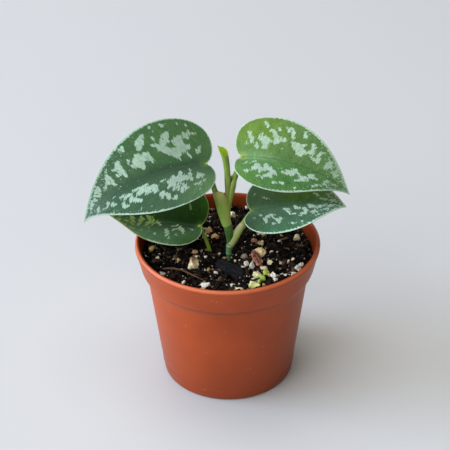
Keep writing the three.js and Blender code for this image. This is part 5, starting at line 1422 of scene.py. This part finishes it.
# Larger lumps that catch the eye, by kind: colours, and x, y, z and size along X, Y and Z of each.
lumpKinds = {
    "perlite": {
        "crumbly": True,
        "colours": [(0, "#8d8781"), (0.4, "#d2cec8"), (1, "#f6f4ef")],
        "places": [
            (6.9, -9.8, 52.6, 1.2, 1.1, 1.5), (9, -10.6, 52.6, 1.3, 1, 1.6),
            (16.6, -17, 52.4, 1.3, 1.3, 1.4), (17.4, -19.2, 52.1, 1, 1, 1),
            (26.2, -12.3, 52.3, 1.4, 1.6, 1.3), (24.4, -15.2, 52, 0.9, 1, 0.9),
            (27.6, -9.8, 52.2, 1, 1.1, 1), (-8.4, -22.9, 52.3, 1.8, 1.2, 1.1),
            (-16.2, -20.3, 52, 0.9, 0.8, 0.8), (-4.4, -14.4, 52.2, 0.9, 0.8, 0.8),
            (-8.3, -3.9, 52.1, 0.7, 0.7, 0.7), (-24.4, -14.5, 51.9, 1.3, 1, 0.8),
        ],
    },
    "greyGrit": {
        "crumbly": False,
        "colours": [(0, "#5f5450"), (0.5, "#8f827c"), (1, "#b8aaa4")],
        "places": [(6.2, -3.6, 52.2, 1.5, 1.2, 1.1)],
    },
    "cream": {
        "crumbly": False,
        "colours": [(0, "#a1916f"), (0.5, "#d8c9a3"), (1, "#efe6cc")],
        "places": [
            (15.8, -8.4, 52.4, 1.2, 1.1, 1.1), (13.5, -12.1, 52.6, 1.4, 1.1, 1.2),
            (4, -25.3, 52, 1.9, 0.9, 0.9), (26.3, 8.3, 52.6, 1.6, 1.3, 1.6), (12.6, 5, 52.2, 1, 0.9, 0.8),
            (2.3, 24.6, 53, 1.5, 1.3, 1.4), (-26.3, -4.5, 52, 0.9, 0.9, 0.9),
        ],
    },
    "algae": {
        "crumbly": True,
        "colours": [(0, "#6f8a2e"), (0.4, "#b4c558"), (0.66, "#e0de9e"), (1, "#f2f0de")],
        "places": [(11, -17.2, 52.6, 1.9, 1.4, 1.5), (9.3, -22.8, 52.2, 2.1, 1.3, 1.3)],
    },
    "moss": {
        "crumbly": False,
        "colours": [(0, "#3f5a16"), (0.5, "#6f9226"), (1, "#a9c24c")],
        "places": [(12.9, -18.6, 52.3, 1.2, 1.3, 1.1), (11.7, -20.6, 52.3, 1.2, 1.1, 1)],
    },
    "tan": {
        "crumbly": False,
        "colours": [(0, "#7b5433"), (0.5, "#b98a58"), (1, "#dcc096")],
        "places": [
            (-12.4, -0.5, 52.2, 1.3, 1.1, 1), (-4.8, 8.8, 52.8, 1.6, 1.3, 1.4),
            (-7.5, 13.8, 52.8, 1.5, 1.3, 1.3),
        ],
    },
    "pink": {
        "crumbly": False,
        "colours": [(0, "#8f5c4c"), (0.5, "#c99283"), (1, "#e6c0b0")],
        "places": [(10.1, 7.1, 52.4, 1.2, 1, 1)],
    },
    "yellow": {
        "crumbly": False,
        "colours": [(0, "#94803c"), (0.5, "#c9b56a"), (1, "#e8dcaa")],
        "places": [(-28.6, 1.8, 52.4, 1.5, 1.3, 1.3)],
    },
    "lime": {
        "crumbly": False,
        "colours": [(0, "#66821c"), (0.5, "#b0bf3c"), (1, "#e4e290")],
        "places": [(14.1, -15.9, 52.8, 1.3, 1.3, 1.4)],
    },
}


crumblyShapes = stoneTemplates(count=4, subdivisions=4, roughness=0.6, seed=130, facets=14)
firmShapes = stoneTemplates(count=4, subdivisions=4, roughness=0.22, seed=130)


def makeLumps():
    random = np.random.default_rng(21)
    for kind, lumps in lumpKinds.items():
        shapes = crumblyShapes if lumps["crumbly"] else firmShapes
        parts = []
        for k, lump in enumerate(lumps["places"]):
            points, corners = shapes[k % len(shapes)]
            placed = (points @ randomTurn(random).T) * lump[3:] + lump[:3]
            parts.append((placed, corners, {"shade": random.uniform(0.45, 0.8)}))
        makeLoose("lumps_" + kind, parts, matterMaterial(kind + "Lumps", "grit", lumps["colours"]))


makeLumps()
print("lumps ready")


# Horticultural charcoal: blue-black, finely cracked, with a dull sheen on its broken faces, partly from
# its gloss and partly painted in as the ramp's bluish light tones
def charcoalMaterial():
    material, tree = newMaterial("horticulturalCharcoal", 0.5, 1.6, 0.14)
    place = addNode(tree, "TexCoord", out="Object")
    # cracks 2 mm long, along X, and 0.7 mm apart; the turn only moves the noise
    sizes = (perSize(2), perSize(0.6667), perSize(0.6667))
    lie = (0, 0, math.radians(32))
    drawn = addNode(tree, "Mapping", {"Vector": place, "Rotation": lie, "Scale": sizes})
    grain = addNode(tree, "TexNoise", {"Vector": drawn, "Scale": 1, "Detail": 5, "Roughness": 0.65})
    # the lightest, bluish stops are painted sheen on the broken faces
    stops = [(0.34, "#000003"), (0.52, "#06070f"), (0.66, "#121529"), (0.82, "#343a5c")]
    colour = addNode(tree, "ValToRGB", {0: grain}, stops=stops)
    return finishMaterial(material, colour, grain, 1, 0.5)


def makeChip(name, chip, material):
    corners = np.array(chip["outline"])
    length, width, thickness = chip["size"]
    turned = np.array(Matrix.Rotation(math.radians(chip["heading"]), 3, "Z")
                      @ Matrix.Rotation(math.radians(chip["tilt"]), 3, "X"))
    flat = np.vstack([np.column_stack([corners * [length / 2, width / 2] * scale,
                                       np.full(len(corners), level * thickness)])
                      for level, scale in chipLayers])
    piece = makePiece(name, flat @ turned.T + chip["at"], loftFaces(len(chipLayers), len(corners)), material,
                      [chip["node"]], {"fibre": flat, "shade": np.full(len(flat), 0.5)})
    divide = piece.modifiers.new("divide", "SUBSURF")
    divide.subdivision_type = "SIMPLE"
    divide.levels = divide.render_levels = 4
    applyModifiers(piece)
    # furrows run along the chip
    mesh = piece.data
    points = np.array([v.co[:] for v in mesh.vertices]) / mm
    normals = np.array([v.normal[:] for v in mesh.vertices])
    furrows = lumpiness(points @ turned * chip["stretch"], chip["lump"], octaves=4, seed=2)
    push = chip["roughen"] * (furrows - 0.35)
    shade = np.clip(0.5 + chip["contrast"] * furrows, 0, 1).astype(np.float32)
    mesh.attributes["shade"].data.foreach_set("value", shade)
    mesh.vertices.foreach_set("co", ((points + normals * push[:, None]) * mm).ravel())
    mesh.shade_smooth()
    mesh.update()


makeChip("charcoalChip", chips["charcoalChip"], charcoalMaterial())
makeChip("barkChip", chips["barkChip"], matterMaterial("compostedPineBark", "bark", colours["pineBark"]))

# The two largest stones.
stones = {
    "gravel_left": {
        "at": (-12.7, -9.4, 52.9), "size": (2.6, 2, 2.7), "turn": 20, "seed": 33, "paleFoot": 0.3,
        "colours": [(0, "#5b4836"), (0.3, "#a98a5e"), (0.55, "#dcc294"), (0.8, "#ebe3da"), (1, "#f3f0f3")],
    },
    "gravel_right": {
        "at": (12.2, -1.4, 52.6), "size": (2.5, 2.1, 2), "turn": -30, "seed": 81, "paleFoot": 0,
        "colours": [(0, "#c09560"), (0.35, "#efcb92"), (0.65, "#fbe6bb"), (1, "#fff7e2")],
    },
}


def makeStone(name, stone):
    points, faces = stoneTemplates(count=1, subdivisions=5, roughness=0.3, seed=stone["seed"])[0]
    turn = np.array(Matrix.Rotation(math.radians(stone["turn"]), 3, "Z"))
    vertices = points * stone["size"] * 0.96 @ turn.T + stone["at"]
    down = (stone["at"] - vertices) @ [0, 0.5, 1] / stone["size"][2]
    patches = lumpiness(vertices, 1.8, octaves=2, seed=3)
    shade = np.clip(0.55 + stone["paleFoot"] * down + 0.35 * patches, 0, 1)
    # worn quartz: sandy tan to cream, in soft patches
    makePiece(name + "_stone", vertices, faces, matterMaterial(name + "Quartz", "grit", stone["colours"]),
              [name], {"shade": shade})


for stoneName, stone in stones.items():
    makeStone(stoneName, stone)

# A dry twig that lies on the soil.
twig = {
    "stations": [
        (-24.3, -11.6, 52.2, 0.28), (-20.6, -12.6, 53, 0.36), (-16.6, -14.2, 53, 0.3),
        (-12.6, -17, 52.7, 0.22), (-9.2, -19.4, 52.3, 0.12),
    ],
    "steps": 14,
    "sides": 16,
    "ripple": (0.08, 3, 0.5),
    "shade": 0.55,
}


def makeTwig():
    vertices, faces, fibre = tube(twig["stations"], twig["steps"], twig["sides"], 100, twig["ripple"])
    makePiece("dryTwig", vertices, faces, matterMaterial("weatheredTwig", "bark", colours["twig"]),
              ["twig"], {"fibre": fibre, "shade": np.full(len(vertices), twig["shade"])})


# fine rootlets and peat fibres, lying loosely on the soil
rootlets = {
    "count": 90,
    "margin": 3,  # between their middle and the pot's wall
    "wallGap": 0.3,
    "bend": 0.8,
    "reach": (1.5, 4.5),
    "lift": 0.75,
    "arch": 0.5,
    "radius": (0.05, 0.1),
    "shades": (0.1, 0.75),
    "seed": 9,
}


def makeFibres():
    random = np.random.default_rng(rootlets["seed"])
    limit = insideRadius(soil["level"]) - rootlets["wallGap"]
    parts = []
    for _ in range(rootlets["count"]):
        x, y = grainPlace(random, rootlets["margin"])
        heading = random.uniform(0, fullTurn)
        bend = random.normal() * rootlets["bend"]
        reach = random.uniform(*rootlets["reach"])
        stations = []
        for t in (0, 0.33, 0.67, 1):
            turn = heading + bend * t
            px, py = x + reach * t * math.cos(turn), y + reach * t * math.sin(turn)
            lift = rootlets["lift"] + rootlets["arch"] * math.sin(math.pi * t) * random.uniform(0.2, 1)
            keep = min(1, limit / max(math.hypot(px, py), 0.001))
            radius = random.uniform(*rootlets["radius"])
            stations.append((px * keep, py * keep, soilHeight(px, py) + lift, radius))
        points, corners, fibre = tube(stations, 4, 6, 100, (0, 0, 0))
        parts.append((points, corners, {"fibre": fibre, "shade": random.uniform(*rootlets["shades"])}))
    makeLoose("peatFibres", parts, matterMaterial("peatFibre", "bark", colours["twig"]))


makeTwig()
makeFibres()
print("chips, stones and fibres ready")
